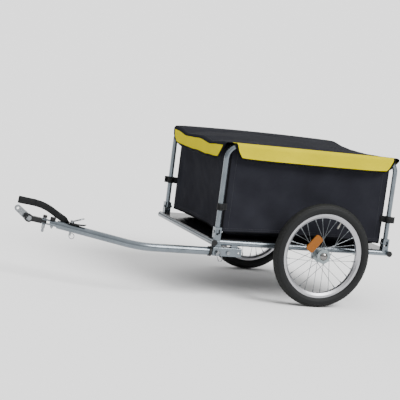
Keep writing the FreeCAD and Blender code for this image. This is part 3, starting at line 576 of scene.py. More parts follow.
def make_tyre(side):
    """One tyre with its tread, in place of the plain packed one."""
    low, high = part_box(side + "_tyre")
    centre, radius, half_width = (low + high) / 2, (high.z - low.z) / 2, (high.y - low.y) / 2
    tyre = turned(side + "_tyre_rubber", tyre_section(radius, half_width), centre)
    tree = tread_tree(radius, half_width, centre)
    run_tree(tyre, tree, Count=TREAD_COUNT, Length=BLOCK_LENGTH, Width=BLOCK_WIDTH, Height=TREAD_DEPTH * 1.1,
             Material=tyre_rubber)
    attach(tyre, side + "_wheel")
    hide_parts(side + "_tyre")
    return tyre


for side in SIDES:
    tyre = make_tyre(side)
    print(tyre.name, len(tyre.data.polygons), "faces")

# %% [markdown]
# The bag and its cover are polyester cloth, woven plain from thick yarn and coated on the back. The yarn is about
# half a millimetre, too fine to show, so the weave is drawn three times as coarse. The cloth pieces carry UVs in
# metres along their own width and height, so that the threads run with the cloth and turn with it at a seam.


# %% Cloth finishes
THREAD_MM = 1.5


def threads(tree, thread_mm):
    """Height of a plain weave on the UV map, 0 to 1."""
    place = add(tree, "ShaderNodeUVMap", {"uv_map": "cloth"})
    waves = []
    for direction in ("X", "Y"):
        settings = {"wave_type": "BANDS", "bands_direction": direction, "wave_profile": "SIN",
                    "Scale": math.pi / 10 / (thread_mm * MM)}
        waves.append(add(tree, "ShaderNodeTexWave", settings, {"Vector": place.outputs[0]}).outputs["Fac"])
    return add(tree, "ShaderNodeMath", {"operation": "MULTIPLY"}, {0: waves[0], 1: waves[1]}).outputs[0]


def cloth(name, dark, light, rough, sheen=0.0, thread_mm=THREAD_MM, cloud_mm=120, gloss=0.03):
    """A plain weave with a tone that is a little uneven over cloud_mm, and unevenly rubbed."""
    material, tree, shader = new_material(name)
    weave = threads(tree, thread_mm)
    cloudy = grain(tree, cloud_mm, 4, 0.55)
    mixed = add(tree, "ShaderNodeMath", {"operation": "MULTIPLY_ADD", 1: 0.35}, {0: weave, 2: cloudy})
    toned = spread(tree, mixed.outputs[0], 0.0, 1.0, 0.25, 0.95)
    tree.links.new(tones(tree, toned, (0.0, dark), (1.0, light)), shader.inputs["Base Color"])
    tree.links.new(spread(tree, grain(tree, 30, 5), rough - 0.07, rough + 0.1), shader.inputs["Roughness"])
    shader.inputs["Sheen Weight"].default_value = sheen
    shader.inputs["Sheen Roughness"].default_value = 0.4
    shader.inputs["Specular IOR Level"].default_value = gloss
    bump(tree, shader, weave, 0.22, 0.6)
    return material


# Polyester coated on the back, so its face is matt: black for the bag, and yellow. The top is the same black cloth
# painted darker: painted shade that offsets the stronger light and sky reflection on its upward face.
bag_cloth = cloth("coated_polyester_black", "#1C1C21", "#292A30", 0.75)
top_cloth_painted_shade = cloth("coated_polyester_top_painted_shade", "#15161A", "#212228", 0.75)
yellow_cloth = cloth("coated_polyester_yellow", "#B8AB00", "#CCBE00", 0.75)
# Binding tape is a coarser weave, dyed deep black.
tape = cloth("woven_binding_tape", "#08090A", "#101112", 0.8, 0.0, 2.0, 25, 0.05)
# Webbing is woven from thick polypropylene yarn, which stays a little shiny.
webbing = cloth("polypropylene_webbing", "#0A0B0C", "#17181A", 0.65, 0.05, 2.2, 18, 0.2)
# Sewing thread is waxed polyester, with the same soft gloss as a dull plastic.
thread_black = moulded("polyester_thread_black", "#141518", "#222327", 0.6, 1.0)
thread_grey = moulded("polyester_thread_grey", "#333438", "#45474B", 0.6, 1.0)
print("cloth finishes made, threads drawn", THREAD_MM, "mm apart")

# %% Places that the cloth is hung from
TUBE_R = 9.25 * MM
hoop_low, hoop_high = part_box("left_hoop")
LEG_FRONT, LEG_REAR = hoop_low.x + TUBE_R, hoop_high.x - TUBE_R
LEG_Y = -(hoop_low.y + hoop_high.y) / 2
HOOP_TOP = hoop_high.z
FLOOR_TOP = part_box("floor_panel")[1].z
print("hoop legs at x", round(LEG_FRONT, 4), round(LEG_REAR, 4), "and y", round(LEG_Y, 4))

# %% [markdown]
# The bag is an open tub sewn from five panels. It hangs from its corners, so its walls draw in a little between them,
# its bottom seam rides clear of the floor, and its base sags down on to the floor panel. It is lofted from one
# rounded outline, pulled in and creased by a formula, so that the corners stay put and the cloth between them moves.

# %% Sizes of the bag
BAG_WALL = 1.4 * MM
BAG_CORNER = 11 * MM
BAG_RIM_Z = HOOP_TOP - 11 * MM
BAG_SEAM_Z = FLOOR_TOP + 22 * MM
BAG_SEAM_RISE = 8 * MM
BAG_ROWS = 46
BAG_GRID = 7.5 * MM
BASE_SHARES = (0.02, 0.04, 0.065, 0.095, 0.13, 0.17, 0.22, 0.28, 0.35, 0.43, 0.52, 0.62, 0.73, 0.86)
# How far a wall stands in from its panel's plane, and how much further its middle is drawn in.
WALL_INSET, WALL_DRAW = 1.0 * MM, 5.5 * MM
# Depths of its broad folds, its small creases, the fans of folds at its corners, and the waves of its hem.
WALL_FOLD, WALL_CREASE, CORNER_FAN, HEM_WAVE = 4.2 * MM, 1.4 * MM, 2.6 * MM, 1.6 * MM
# How high the base lies on the floor panel, how much it waves, and how far in from the seam it gets down there.
BASE_CLEAR, BASE_WAVE, BASE_FALL_RUN = 1.6 * MM, 0.7 * MM, 85 * MM
bag_low, bag_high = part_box("bag_walls")
BAG_MIDDLE = (bag_low + bag_high) / 2
BAG_HALF = Vector(((bag_high.x - bag_low.x) / 2 - 1.5 * MM, (bag_high.y - bag_low.y) / 2 - 1.5 * MM, 0))
print("bag", round(2 * BAG_HALF.x, 3), "by", round(2 * BAG_HALF.y, 3), "by", round(BAG_RIM_Z - BAG_SEAM_Z, 3), "m")


# %% Outline of the bag
def smoothstep(value, low, high):
    """0 below low, 1 above high, and smooth between."""
    t = min(1.0, max(0.0, (value - low) / (high - low)))
    return t * t * (3 - 2 * t)


def ripple(x, y, z, size_mm, seed):
    """Smooth fixed noise, about -1 to 1, of blobs size_mm across."""
    return noise.noise(Vector((x, y, z)) / (size_mm * MM) + Vector((seed, 2 * seed, 3 * seed)))


def bag_outline():
    """Points round the bag with their outward direction and share along their panel."""
    outline = []
    half_x, half_y = BAG_HALF.x, BAG_HALF.y
    sides = (((-half_x, -half_y), (1, 0), 2 * half_x), ((half_x, -half_y), (0, 1), 2 * half_y),
             ((half_x, half_y), (-1, 0), 2 * half_x), ((-half_x, half_y), (0, -1), 2 * half_y))
    for (x0, y0), (dx, dy), length in sides:
        straight = length - 2 * BAG_CORNER
        count = round(straight / BAG_GRID)
        for k in range(count + 1):
            along = BAG_CORNER + straight * k / count
            outline.append((x0 + dx * along, y0 + dy * along, dy, -dx, along / length))
        end_x, end_y = x0 + dx * length, y0 + dy * length
        middle = (end_x - dx * BAG_CORNER - dy * BAG_CORNER, end_y - dy * BAG_CORNER + dx * BAG_CORNER)
        start = math.atan2(-dx, dy)
        for k in range(1, 4):
            angle = start + math.pi / 2 * k / 4
            cos, sin = math.cos(angle), math.sin(angle)
            outline.append((middle[0] + BAG_CORNER * cos, middle[1] + BAG_CORNER * sin, cos, sin, 1.0))
    return outline


print("outline of", len(bag_outline()), "points")


# %% Walls and base of the bag
def bag_wall_point(x, y, nx, ny, share, height):
    """A point of the wall at a share of its height, drawn in and creased."""
    bow, end = math.sin(math.pi * share), min(share, 1 - share)
    seam = BAG_SEAM_Z + BAG_SEAM_RISE * bow
    z = seam + (BAG_RIM_Z - seam) * height
    free = smoothstep(end, 0.0, 0.16)
    draw = WALL_DRAW * bow * math.sin(math.pi * min(1.0, height * 1.15)) ** 0.8
    fan = math.sin(34 * (z - BAG_SEAM_Z) + 26 * end) * math.exp(-end / 0.10) * smoothstep(end, 0.004, 0.03)
    lean = CORNER_FAN * fan * math.sin(math.pi * height)
    crease = WALL_FOLD * free * ripple(x + 0.6 * z, y + 0.6 * z, z * 0.3, 90, 3)
    crease += WALL_CREASE * free * ripple(x - 0.8 * z, y - 0.8 * z, z * 0.5, 34, 9)
    hem = HEM_WAVE * free * ripple(x, y, 0, 60, 5) * (1 - smoothstep(height, 0.0, 0.12))
    push = crease + hem - draw - lean - WALL_INSET
    return Vector((BAG_MIDDLE.x + x + nx * push, BAG_MIDDLE.y + y + ny * push, z))


def bag_base_point(edge, inward):
    """A point of the base at a share of the way in from the seam."""
    middle = Vector((BAG_MIDDLE.x, BAG_MIDDLE.y, edge.z))
    flat = edge.lerp(middle, inward)
    fall = smoothstep((flat - edge).length, 0.0, BASE_FALL_RUN)
    sag = BASE_WAVE * (1 + ripple(flat.x, flat.y, 0, 60, 12)) * fall
    return Vector((flat.x, flat.y, edge.z + (FLOOR_TOP + BASE_CLEAR - edge.z) * fall + sag))


print("middle of the near wall at y", round(bag_wall_point(0, -BAG_HALF.y, 0, -1, 0.5, 0.5).y, 4))


# %% Bag mesh
def bag_uvs(bag, top_ring, wall_points):
    """Lays the walls out by their length round the bag and height, and the base by its plan."""
    count, lengths = len(top_ring), [0.0]
    for k in range(count):
        lengths.append(lengths[-1] + (top_ring[(k + 1) % count] - top_ring[k]).length)
    layer = bag.data.uv_layers.new(name="cloth")
    for face in bag.data.polygons:
        corners = list(face.vertices)
        wraps = any(index % count == count - 1 for index in corners)
        for loop, index in zip(face.loop_indices, corners):
            place = bag.data.vertices[index].co
            column = count if index % count == 0 and wraps else index % count
            layer.data[loop].uv = (lengths[column], place.z) if index < wall_points else (place.x, place.y)


def make_bag():
    """The tub, wall and base in one mesh with UVs along the cloth."""
    spots = bag_outline()
    count = len(spots)
    rings = [[bag_wall_point(*spot, 1 - row / BAG_ROWS) for spot in spots] for row in range(BAG_ROWS + 1)]
    rings += [[bag_base_point(edge, share) for edge in rings[BAG_ROWS]] for share in BASE_SHARES]
    points = [p for ring in rings for p in ring]
    faces = []
    for row in range(len(rings) - 1):
        for k in range(count):
            a, b = row * count + k, row * count + (k + 1) % count
            faces.append((a, a + count, b + count, b))
    points.append(Vector((BAG_MIDDLE.x, BAG_MIDDLE.y, FLOOR_TOP + 2.2 * MM)))
    last = (len(rings) - 1) * count
    faces += [(last + k, len(points) - 1, last + (k + 1) % count) for k in range(count)]
    bag = mesh_object("cargo_bag", points, faces)
    bag_uvs(bag, rings[0], (BAG_ROWS + 1) * count)
    smooth(bag)
    thick = bag.modifiers.new("cloth", "SOLIDIFY")
    thick.thickness, thick.offset = BAG_WALL, 0.0
    bag.data.materials.append(bag_cloth)
    return bag, rings[:BAG_ROWS + 1], spots


bag, bag_rings, bag_spots = make_bag()
settle(bag)
print("bag", len(bag.data.polygons), "faces")

# %% [markdown]
# Where two panels of the bag meet, their edges are bound with tape and turned outwards, which shows as a thin soft
# cord, with a row of stitches on either side. A bevel would only round the corner. Both are lines of the bag's own
# points, moved a little outwards, that the trees above turn into cord and stitches.

# %% Bag seams
PIPING_LIFT, STITCH_LIFT = 1.2 * MM, 1.0 * MM


def proud(point, spot, lift):
    """A point of the wall moved outwards."""
    _, _, out_x, out_y, _ = spot
    return point + Vector((out_x, out_y, 0)) * lift


def bag_hoop(row, lift):
    """A closed line round the bag along one of its rows."""
    line = [proud(p, spot, lift) for p, spot in zip(bag_rings[row], bag_spots)]
    return line + [line[0]]


def bag_upright(column, lift):
    """A line up the bag along one of its columns."""
    column %= len(bag_spots)
    return [proud(ring[column], bag_spots[column], lift) for ring in bag_rings]


corner_columns = [k for k, spot in enumerate(bag_spots) if spot[4] == 1.0][1::3]
piping_lines = [bag_hoop(BAG_ROWS, PIPING_LIFT)] + [bag_upright(c, STITCH_LIFT) for c in corner_columns]
bag_piping = polylines("bag_seam_piping", piping_lines)
run_tree(bag_piping, PIPING, Pitch=9 * MM, Radius=1.9 * MM, Material=tape)
stitch_lines = [bag_hoop(BAG_ROWS - up, STITCH_LIFT) for up in (1, 2)]
stitch_lines += [bag_upright(c + step, STITCH_LIFT) for c in corner_columns for step in (-4, 4)]
bag_stitches = polylines("bag_stitches", stitch_lines)
run_tree(bag_stitches, STITCHES, Pitch=6 * MM, Length=4.4 * MM, Radius=0.5 * MM, Material=thread_grey)
for piece in (bag, bag_piping, bag_stitches):
    smooth(piece)
    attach(piece, "frame")
    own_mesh(piece)
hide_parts("bag_walls", "bag_floor")
print("stitches", len(bag_stitches.data.polygons), "faces")

# %% [markdown]
# The cover is one sheet with four hanging flaps. The front and rear ones run the full width and the side ones start a
# little in from the corners; all have their lower corners cut back. The top is black and the flaps are yellow, with a
# folded tape round every cut edge. Nothing holds it up between the hoops at the front and the rear, so those edges
# dip, while the sides lie along the tubes. A cloth simulation would give softer folds, but not where they are wanted,
# so it is a grid bent over by formula.

# %% Sizes of the cover
# The cloth turns over the tubes with this radius, in so many steps.
ROLL = 11 * MM
ROLL_STEPS = 4
# How far in the side flaps start from the front and from the rear.
CORNER_CUTS = (20 * MM, 9 * MM)
# How deep the yellow part of a flap is, and how far its hem tucks in.
FLAP_YELLOW = 45 * MM
FLAP_TUCK = 2.5 * MM
TAPE_WIDTH = 10 * MM
TAPED_THICK = 2.6 * MM
COVER_TOP = HOOP_TOP + 1.6 * MM
cover_low, cover_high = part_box("cover_top")
EDGE_X = (cover_low.x + 0.5 * MM + ROLL, cover_high.x - 0.5 * MM - ROLL)
EDGE_Y = cover_high.y - 0.5 * MM - ROLL
COVER_MID_X = (EDGE_X[0] + EDGE_X[1]) / 2
# Hollows in an edge: where each is across the trailer, how wide and how deep.
FRONT_HOLLOWS = ((0.133, 0.075, 15 * MM), (-0.140, 0.075, 12 * MM), (0.0, 0.12, 5 * MM))
REAR_HOLLOWS = ((0.0, 0.30, 18 * MM),)
# How much lower the front flap's hem hangs; the hem stays level under the hollows.
FRONT_LEVEL = 9 * MM
COVER_GRID = 11 * MM
print("cover", round(EDGE_X[1] - EDGE_X[0], 3), "by", round(2 * EDGE_Y, 3), "m between its turned edges")


# %% Top of the cover
def grid_lines(low, high, spacing, cuts):
    """Places across one side of the cover: the corner's cut, the tape, then even cloth."""
    first = [low, low + cuts[0], low + cuts[0] + TAPE_WIDTH]
    last = [high - cuts[1] - TAPE_WIDTH, high - cuts[1], high]
    count = round((last[0] - first[2]) / spacing)
    even = [first[2] + (last[0] - first[2]) * k / count for k in range(1, count)]
    return first + even + last


def dip(y, hollows):
    """How far an unsupported edge sags at y."""
    near = max(0.0, 1 - (abs(y) / EDGE_Y) ** 4)
    return near * sum(deep * math.exp(-((y - middle) / wide) ** 2) for middle, wide, deep in hollows)


def cover_height(x, y):
    """Height of the cover's top."""
    u, v = (x - COVER_MID_X) / (EDGE_X[1] - COVER_MID_X), y / EDGE_Y
    crown = 9 * MM * (1 - u * u) * (1 - v * v) + 5 * MM * (1 - u * u) * smoothstep(v, 0.2, 0.9)
    front = dip(y, FRONT_HOLLOWS) * math.exp(-(x - EDGE_X[0]) / 0.10)
    rear = dip(y, REAR_HOLLOWS) * math.exp(-(EDGE_X[1] - x) / 0.12)
    free = (1 - smoothstep(abs(v), 0.86, 1.0))
    creases = 1.8 * MM * ripple(x * 0.45, y, 0, 70, 4) + 1.0 * MM * ripple(x, y, 0, 34, 7)
    ridge = 3.0 * MM * math.exp(-((y - 0.10 + 0.35 * (x - COVER_MID_X)) / 0.018) ** 2) * (1 - u * u)
    return COVER_TOP + crown - front - rear + (creases + ridge) * free


print("top at its middle", round(cover_height(COVER_MID_X, 0), 3), "m")


# %% How a flap hangs
def flap_profile():
    """Steps down a flap: (arc length from the seam, is it tape)."""
    bend = ROLL * math.pi / 2
    steps = [bend * k / ROLL_STEPS for k in range(1, ROLL_STEPS + 1)]
    steps += [bend + FLAP_YELLOW * k / 6 for k in range(1, 7)]
    return [(s, False) for s in steps] + [(steps[-1] + 0.4 * MM, True), (steps[-1] + TAPE_WIDTH, True)]


def flap_point(seam, out, along, inset, s, droop):
    """A point s down a flap from its seam: round the roll, then hanging with slow waves."""
    bend = ROLL * math.pi / 2
    angle, hang = min(s, bend) / ROLL, max(0.0, s - bend)
    run = seam.x if out.y else seam.y
    wave = 3.2 * MM * ripple(run, out.x * 0.3, out.y * 0.3 + hang * 2, 75, 6)
    wave += 1.0 * MM * ripple(run, out.x, out.y + hang * 3, 26, 2)
    outwards = ROLL * math.sin(angle) + (wave - FLAP_TUCK) * hang / FLAP_YELLOW
    down = ROLL * (1 - math.cos(angle)) + hang * droop
    return seam + out * outwards - Vector((0, 0, down)) + along * inset


FLAP_DROP = flap_profile()[-1][0]
print("a flap measures", round(FLAP_DROP, 4), "m from its seam to its hem")

# %% How the flaps are cut
NEAR, REAR, FAR, FRONT = range(4)
# The way out from the cover and the way along each flap, going round it.
FLAP_WAYS = ((Vector((0, -1, 0)), Vector((1, 0, 0))), (Vector((1, 0, 0)), Vector((0, 1, 0))),
             (Vector((0, 1, 0)), Vector((-1, 0, 0))), (Vector((-1, 0, 0)), Vector((0, -1, 0))))
BLACK, YELLOW, TAPED = range(3)
# How a flap's end is cut back: shares of its drop, and millimetres in from its corner.
FLAP_CUTS = {
    "open": ((0, 0), (0.24, 0), (0.6, 28), (0.86, 54), (1, 82)),
    "full": ((0, 0), (0.6, 0), (0.86, 26), (1, 66)),
    "steep": ((0, 0), (0.5, 12), (0.86, 28), (1, 54)),
    "slow": ((0, 0), (0.3, 3), (0.8, 20), (1, 46)),
}
FLAP_ENDS = (("steep", "slow"), ("open", "open"), ("slow", "steep"), ("full", "open"))


def cut_back(fall, kind):
    """Inset of a flap's end at a share of its drop, read from its cut's corner points."""
    cut = FLAP_CUTS[kind]
    for (low, start), (high, end) in zip(cut, cut[1:]):
        if fall <= high:
            return (start + (end - start) * (fall - low) / (high - low)) * MM
    return cut[-1][1] * MM


print("cuts reach in", {kind: cut_back(1, kind) for kind in FLAP_CUTS})

# %% [markdown]
# The flaps join the top without a gap, so they have to share its points. A small class keeps each point under a key,
# and gives its number back when the same key comes again, as a spreadsheet would. Separate objects would be simpler,
# but would leave an open seam that the thickness can't close.


# %% Flaps of the cover
class PanelMesh:
    """Points that are shared by key, each with its UV, and faces with their kind of cloth."""

    def __init__(self):
        """Starts with no points and no faces."""
        self.points, self.uvs, self.index, self.faces, self.kinds = [], [], {}, [], []

    def point(self, key, place, uv):
        """The number of the point with this key, which is made if it is new."""
        if key not in self.index:
            self.index[key] = len(self.points)
            self.points.append(place)
            self.uvs.append(uv)
        return self.index[key]

    def face(self, corners, kind):
        """A face between numbered points."""
        self.faces.append(corners)
        self.kinds.append(kind)


def flap_seam(side, last_i, last_j):
    """Keys of the top's points along a flap's seam, in the order that the flap runs."""
    if side == NEAR:
        return [(k, 0) for k in range(1, last_i)]
    if side == REAR:
        return [(last_i, k) for k in range(last_j + 1)]
    if side == FAR:
        return [(k, last_j) for k in range(last_i - 1, 0, -1)]
    return [(0, k) for k in range(last_j, -1, -1)]


def flap_column(panels, side, key, share, width):
    """Numbers of the points from the seam down to the flap's hem."""
    out, along = FLAP_WAYS[side]
    profile, column = flap_profile(), [panels.index[key]]
    seam = panels.points[column[0]]
    droop = 1.0 - 0.10 * math.exp(-share * 14) - 0.10 * math.exp(-(1 - share) * 14)
    for row, (s, _) in enumerate(profile):
        fall = s / FLAP_DROP
        start, end = (cut_back(fall, kind) for kind in FLAP_ENDS[side])
        place = flap_point(seam, out, along, (1 - share) * start - share * end, s, droop)
        if side == FRONT:
            place.z += (dip(seam.y, FRONT_HOLLOWS) - FRONT_LEVEL) * fall
        column.append(panels.point((side, key, row), place, (share * width, s)))
    return column


def hang_flap(panels, side, last_i, last_j):
    """One flap; returns its columns of points."""
    keys, along = flap_seam(side, last_i, last_j), FLAP_WAYS[side][1]
    runs = [panels.points[panels.index[key]].dot(along) for key in keys]
    width = abs(runs[-1] - runs[0])
    grid = [flap_column(panels, side, key, abs(run - runs[0]) / width, width) for key, run in zip(keys, runs)]
    for c in range(len(grid) - 1):
        for r, (_, on_tape) in enumerate(flap_profile()):
            at_end = c in (0, len(grid) - 2) and r >= 1
            on_roll = side in (REAR, FRONT) and r < ROLL_STEPS
            kind = BLACK if on_roll else TAPED if on_tape or at_end else YELLOW
            panels.face([grid[c][r], grid[c][r + 1], grid[c + 1][r + 1], grid[c + 1][r]], kind)
    return [[panels.points[v] for v in column] for column in grid]


# %% Cover
def cover_mesh():
    """Top and flaps in one grid, and the points of each flap."""
    xs = grid_lines(*EDGE_X, COVER_GRID, CORNER_CUTS)
    ys = grid_lines(-EDGE_Y, EDGE_Y, COVER_GRID, (CORNER_CUTS[0], CORNER_CUTS[0]))
    panels = PanelMesh()

    def top(i, j):
        """The number of the top's point at a crossing of the grid."""
        return panels.point((i, j), Vector((xs[i], ys[j], cover_height(xs[i], ys[j]))), (xs[i], ys[j]))

    last_i, last_j = len(xs) - 1, len(ys) - 1
    for i in range(last_i):
        for j in range(last_j):
            panels.face([top(i, j), top(i + 1, j), top(i + 1, j + 1), top(i, j + 1)], BLACK)
    return panels, [hang_flap(panels, side, last_i, last_j) for side in (NEAR, REAR, FAR, FRONT)]


def make_cover():
    """The cover with its three cloths, thicker where it is taped; returns its flaps and area too."""
    sewn, flaps = cover_mesh()
    cover = mesh_object("bag_cover", sewn.points, sewn.faces)
    layer = cover.data.uv_layers.new(name="cloth")
    for loop in cover.data.loops:
        layer.data[loop.index].uv = sewn.uvs[loop.vertex_index]
    for material in (top_cloth_painted_shade, yellow_cloth, tape):
        cover.data.materials.append(material)
    for face, kind in zip(cover.data.polygons, sewn.kinds):
        face.material_index = kind
    taped = {v for face, kind in zip(sewn.faces, sewn.kinds) if kind == TAPED for v in face}
    cover.vertex_groups.new(name="taped").add(sorted(taped), 1.0, "REPLACE")
    area = sum(face.area for face in cover.data.polygons)
    smooth(cover)
    skin = cover.modifiers.new("cloth", "SOLIDIFY")
    skin.thickness, skin.offset = TAPED_THICK, 0.0
    skin.vertex_group, skin.thickness_vertex_group = "taped", 0.5
    finer = cover.modifiers.new("finer", "SUBSURF")
    finer.levels = finer.render_levels = 1
    return cover, flaps, area


cover, cover_flaps, cover_area = make_cover()
settle(cover)
print("cover", len(cover.data.polygons), "faces,", round(cover_area, 3), "square metres")

# %% Cover stitches
cover_lines = []
for grid, (out, _) in zip(cover_flaps, FLAP_WAYS):
    for blend in (0.25, 0.8):
        cover_lines.append([column[-2].lerp(column[-1], blend) + out * 1.5 * MM for column in grid[1:-1]])
    cover_lines.append([column[0] + Vector((0, 0, 1.0 * MM)) - out * 3 * MM for column in grid[1:-1]])
cover_stitches = polylines("cover_stitches", cover_lines)
run_tree(cover_stitches, STITCHES, Pitch=6 * MM, Length=4.4 * MM, Radius=0.5 * MM, Material=thread_black)
for piece in (cover, cover_stitches):
    smooth(piece)
    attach(piece, "frame")
    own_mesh(piece)
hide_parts("cover_top", "cover_skirt")

# %% [markdown]
# Four short lengths of webbing tie the bag's corners to the hoops' legs. Each starts on the bag, goes once round the
# tube and ends in a free tail. A curve with a flat bevel would twist on such a tight turn, so a ribbon is built on a
# path worked out from the leg's own radius, with its width given at every point.

# %% A ribbon of webbing
STRAP_WIDTH = 25 * MM


def ribbon(name, path, across, thick, material, bevel=0.4 * MM):
    """A flat band along a path; across gives half its width at each point."""
    points, faces, lengths = [], [], [0.0]
    for before, after in zip(path, path[1:]):
        lengths.append(lengths[-1] + (after - before).length)
    for k, place in enumerate(path):
        ahead = path[min(k + 1, len(path) - 1)] - path[max(k - 1, 0)]
        side = across[k]
        up = ahead.cross(side).normalized() * thick / 2
        inner = side * (1 - bevel / side.length)
        flat = up * 0.55
        points += [place - side - flat, place - inner - up, place + inner - up, place + side - flat,
                   place + side + flat, place + inner + up, place - inner + up, place - side + flat]
    for k in range(len(path) - 1):
        for c in range(8):
            a, b = 8 * k + c, 8 * k + (c + 1) % 8
            faces.append((a, b, b + 8, a + 8))
    end = 8 * (len(path) - 1)
    faces += [tuple(range(7, -1, -1)), tuple(range(end, end + 8))]
    band = mesh_object(name, points, faces)
    layer = band.data.uv_layers.new(name="cloth")
    width = [0.0, 0.02, 0.98, 1.0, 1.0, 0.98, 0.02, 0.0]
    for loop in band.data.loops:
        v = loop.vertex_index
        layer.data[loop.index].uv = (width[v % 8] * 2 * across[v // 8].length, lengths[v // 8])
    band.data.materials.append(material)
    return outward(band)


print("webbing", STRAP_WIDTH, "m wide")

# %% Corner ties
STRAP_THICK = 1.6 * MM
SHORT_TAIL, LONG_TAIL = 9 * MM, 21 * MM
TIE_SEAM = 9.5 * MM
THREAD_LIFT = 1.0 * MM


def corner_strap_path(leg_x, leg_y, out_x, out_y, height, tail):
    """From the bag's side, once and a bit round the leg, to a tail that ends so far past its middle."""
    start, turn, steps = math.radians(150), math.radians(-420), 40
    clear, climb = 1.3 * MM, 2.0 * MM
    flat = [(-30 * MM, -10.9 * MM), (-22 * MM, -9.0 * MM), (-15 * MM, -2.5 * MM)]
    for k in range(steps + 1):
        angle = start + turn * k / steps
        reach = TUBE_R + clear + climb * k / steps
        flat.append((reach * math.cos(angle), reach * math.sin(angle)))
    end = flat[-1][1]
    flat += [(tail / 3, end + 0.2 * MM), (tail * 2 / 3, end - 0.4 * MM), (tail, end - 1.4 * MM)]
    return [Vector((leg_x + out_x * a, leg_y + out_y * b, height)) for a, b in flat]


def make_corner_straps(side, out_y):
    """Both webbing ties of one hoop, in one piece, with their stitched tails."""
    low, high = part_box(side + "_corner_straps")
    half = STRAP_WIDTH / 2
    bands, seams = [], []
    for leg_x, out_x, height in ((LEG_FRONT, -1, high.z - half), (LEG_REAR, 1, low.z + half)):
        tail = SHORT_TAIL if (out_x, out_y) == (-1, -1) else LONG_TAIL
        path = corner_strap_path(leg_x, out_y * LEG_Y, out_x, out_y, height, tail)
        across = [Vector((0, 0, half))] * len(path)
        bands.append(ribbon(side + "_tie", path, across, STRAP_THICK, webbing))
        for level in (-TIE_SEAM, TIE_SEAM):
            lift = Vector((0, out_y * THREAD_LIFT, level))
            seams += [[p + lift for p in path[-3:]], [p + lift for p in path[:3]]]
    work = bmesh.new()
    for band in bands:
        work.from_mesh(band.data)
        bpy.data.objects.remove(band)
    mesh = bpy.data.meshes.new(side + "_corner_ties")
    work.to_mesh(mesh)
    work.free()
    mesh.materials.append(webbing)
    ties = placed(bpy.data.objects.new(side + "_corner_ties", mesh))
    tie_stitches = polylines(side + "_tie_stitches", seams)
    run_tree(tie_stitches, STITCHES, Pitch=4 * MM, Length=3 * MM, Radius=0.45 * MM, Material=thread_grey)
    for piece in (ties, tie_stitches):
        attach(smooth(piece), side + "_hoop")
    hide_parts(side + "_corner_straps")
    return ties


print("ties", make_corner_straps("left", -1).name, make_corner_straps("right", 1).name)

# %% [markdown]
# A safety strap keeps the trailer on the bicycle if the hitch fails. It is flat webbing, doubled and stiff: its tail
# lies on the drawbar under the D ring, the stub pin goes through it, and it arches up past the hitch to a sewn loop
# that goes round the bicycle's frame, turning on edge as it leaves the pin. A ribbon follows a smooth NURBS route.

# %% Safety strap
STRAP_ROUTE = [(-0.4730, -0.1668, 0.2191), (-0.4954, -0.1527, 0.2158), (-0.5257, -0.1338, 0.2199),
               (-0.5635, -0.1100, 0.2410), (-0.5955, -0.0940, 0.2620), (-0.6335, -0.0870, 0.2760),
               (-0.6735, -0.0845, 0.2805)]
SAFETY_THICK = 3.0 * MM
STRAP_TURN = math.radians(88)
STRAP_TURN_RUN = (0.050, 0.088)


def route_line(name, route):
    """Points of the smooth line whose control points are the route."""
    data = bpy.data.curves.new(name, "CURVE")
    data.dimensions = "3D"
    data.resolution_u = 12
    spline = data.splines.new("NURBS")
    spline.points.add(len(route) - 1)
    for point, place in zip(spline.points, route):
        point.co = (*place, 1)
    spline.order_u = 3
    spline.use_endpoint_u = True
    curve = placed(bpy.data.objects.new(name, data))
    bpy.context.view_layer.update()
    mesh = bpy.data.meshes.new_from_object(curve)
    line = [Vector(v.co) for v in mesh.vertices]
    bpy.data.objects.remove(curve)
    bpy.data.meshes.remove(mesh)
    return line


def turned_sides(line, half):
    """Half widths that lie level along the drawbar, then turn with the webbing towards upright."""
    sides, run = [], 0.0
    for k, place in enumerate(line):
        ahead = (line[min(k + 1, len(line) - 1)] - line[max(k - 1, 0)]).normalized()
        run += (place - line[max(k - 1, 0)]).length
        angle = STRAP_TURN * smoothstep(run, *STRAP_TURN_RUN)
        level = ahead.cross(Vector((0, 0, 1))).normalized()
        sides.append((level * math.cos(angle) + ahead.cross(level) * math.sin(angle)) * half)
    return sides


strap_line = route_line("safety_strap_route", STRAP_ROUTE)
strap_sides = turned_sides(strap_line, STRAP_WIDTH / 2)
safety_strap = ribbon("safety_webbing", strap_line, strap_sides, SAFETY_THICK, webbing, 0.8 * MM)
strap_run = sum((b - a).length for a, b in zip(strap_line, strap_line[1:]))
print("safety strap", round(strap_run, 4), "m")

# %% Sewn end loop of the safety strap
LOOP_REACH = 26 * MM
LOOP_RADIUS = 5 * MM
LOOP_THICK = 1.6 * MM
end_place = strap_line[-1]
loop_ahead = (end_place - strap_line[-4]).normalized()
loop_side = strap_sides[-1]
loop_up = loop_side.cross(loop_ahead).normalized()
if loop_up.z < 0:
    loop_up = -loop_up


def loop_path():
    """Out from the strap's end, round and back under it."""
    sewn, free = loop_up * SAFETY_THICK * 0.8, loop_up * SAFETY_THICK * 0.9
    path = [end_place - loop_ahead * 30 * MM + sewn, end_place - loop_ahead * 12 * MM + sewn, end_place + free]
    centre = end_place + loop_ahead * LOOP_REACH - loop_up * 1.5 * MM
    for k in range(13):
        angle = math.radians(80 - 160 * k / 12)
        path.append(centre + loop_ahead * LOOP_RADIUS * 1.4 * math.cos(angle)
                    + loop_up * LOOP_RADIUS * math.sin(angle))
    return path + [end_place - free, end_place - loop_ahead * 14 * MM - sewn,
                   end_place - loop_ahead * 32 * MM - sewn]


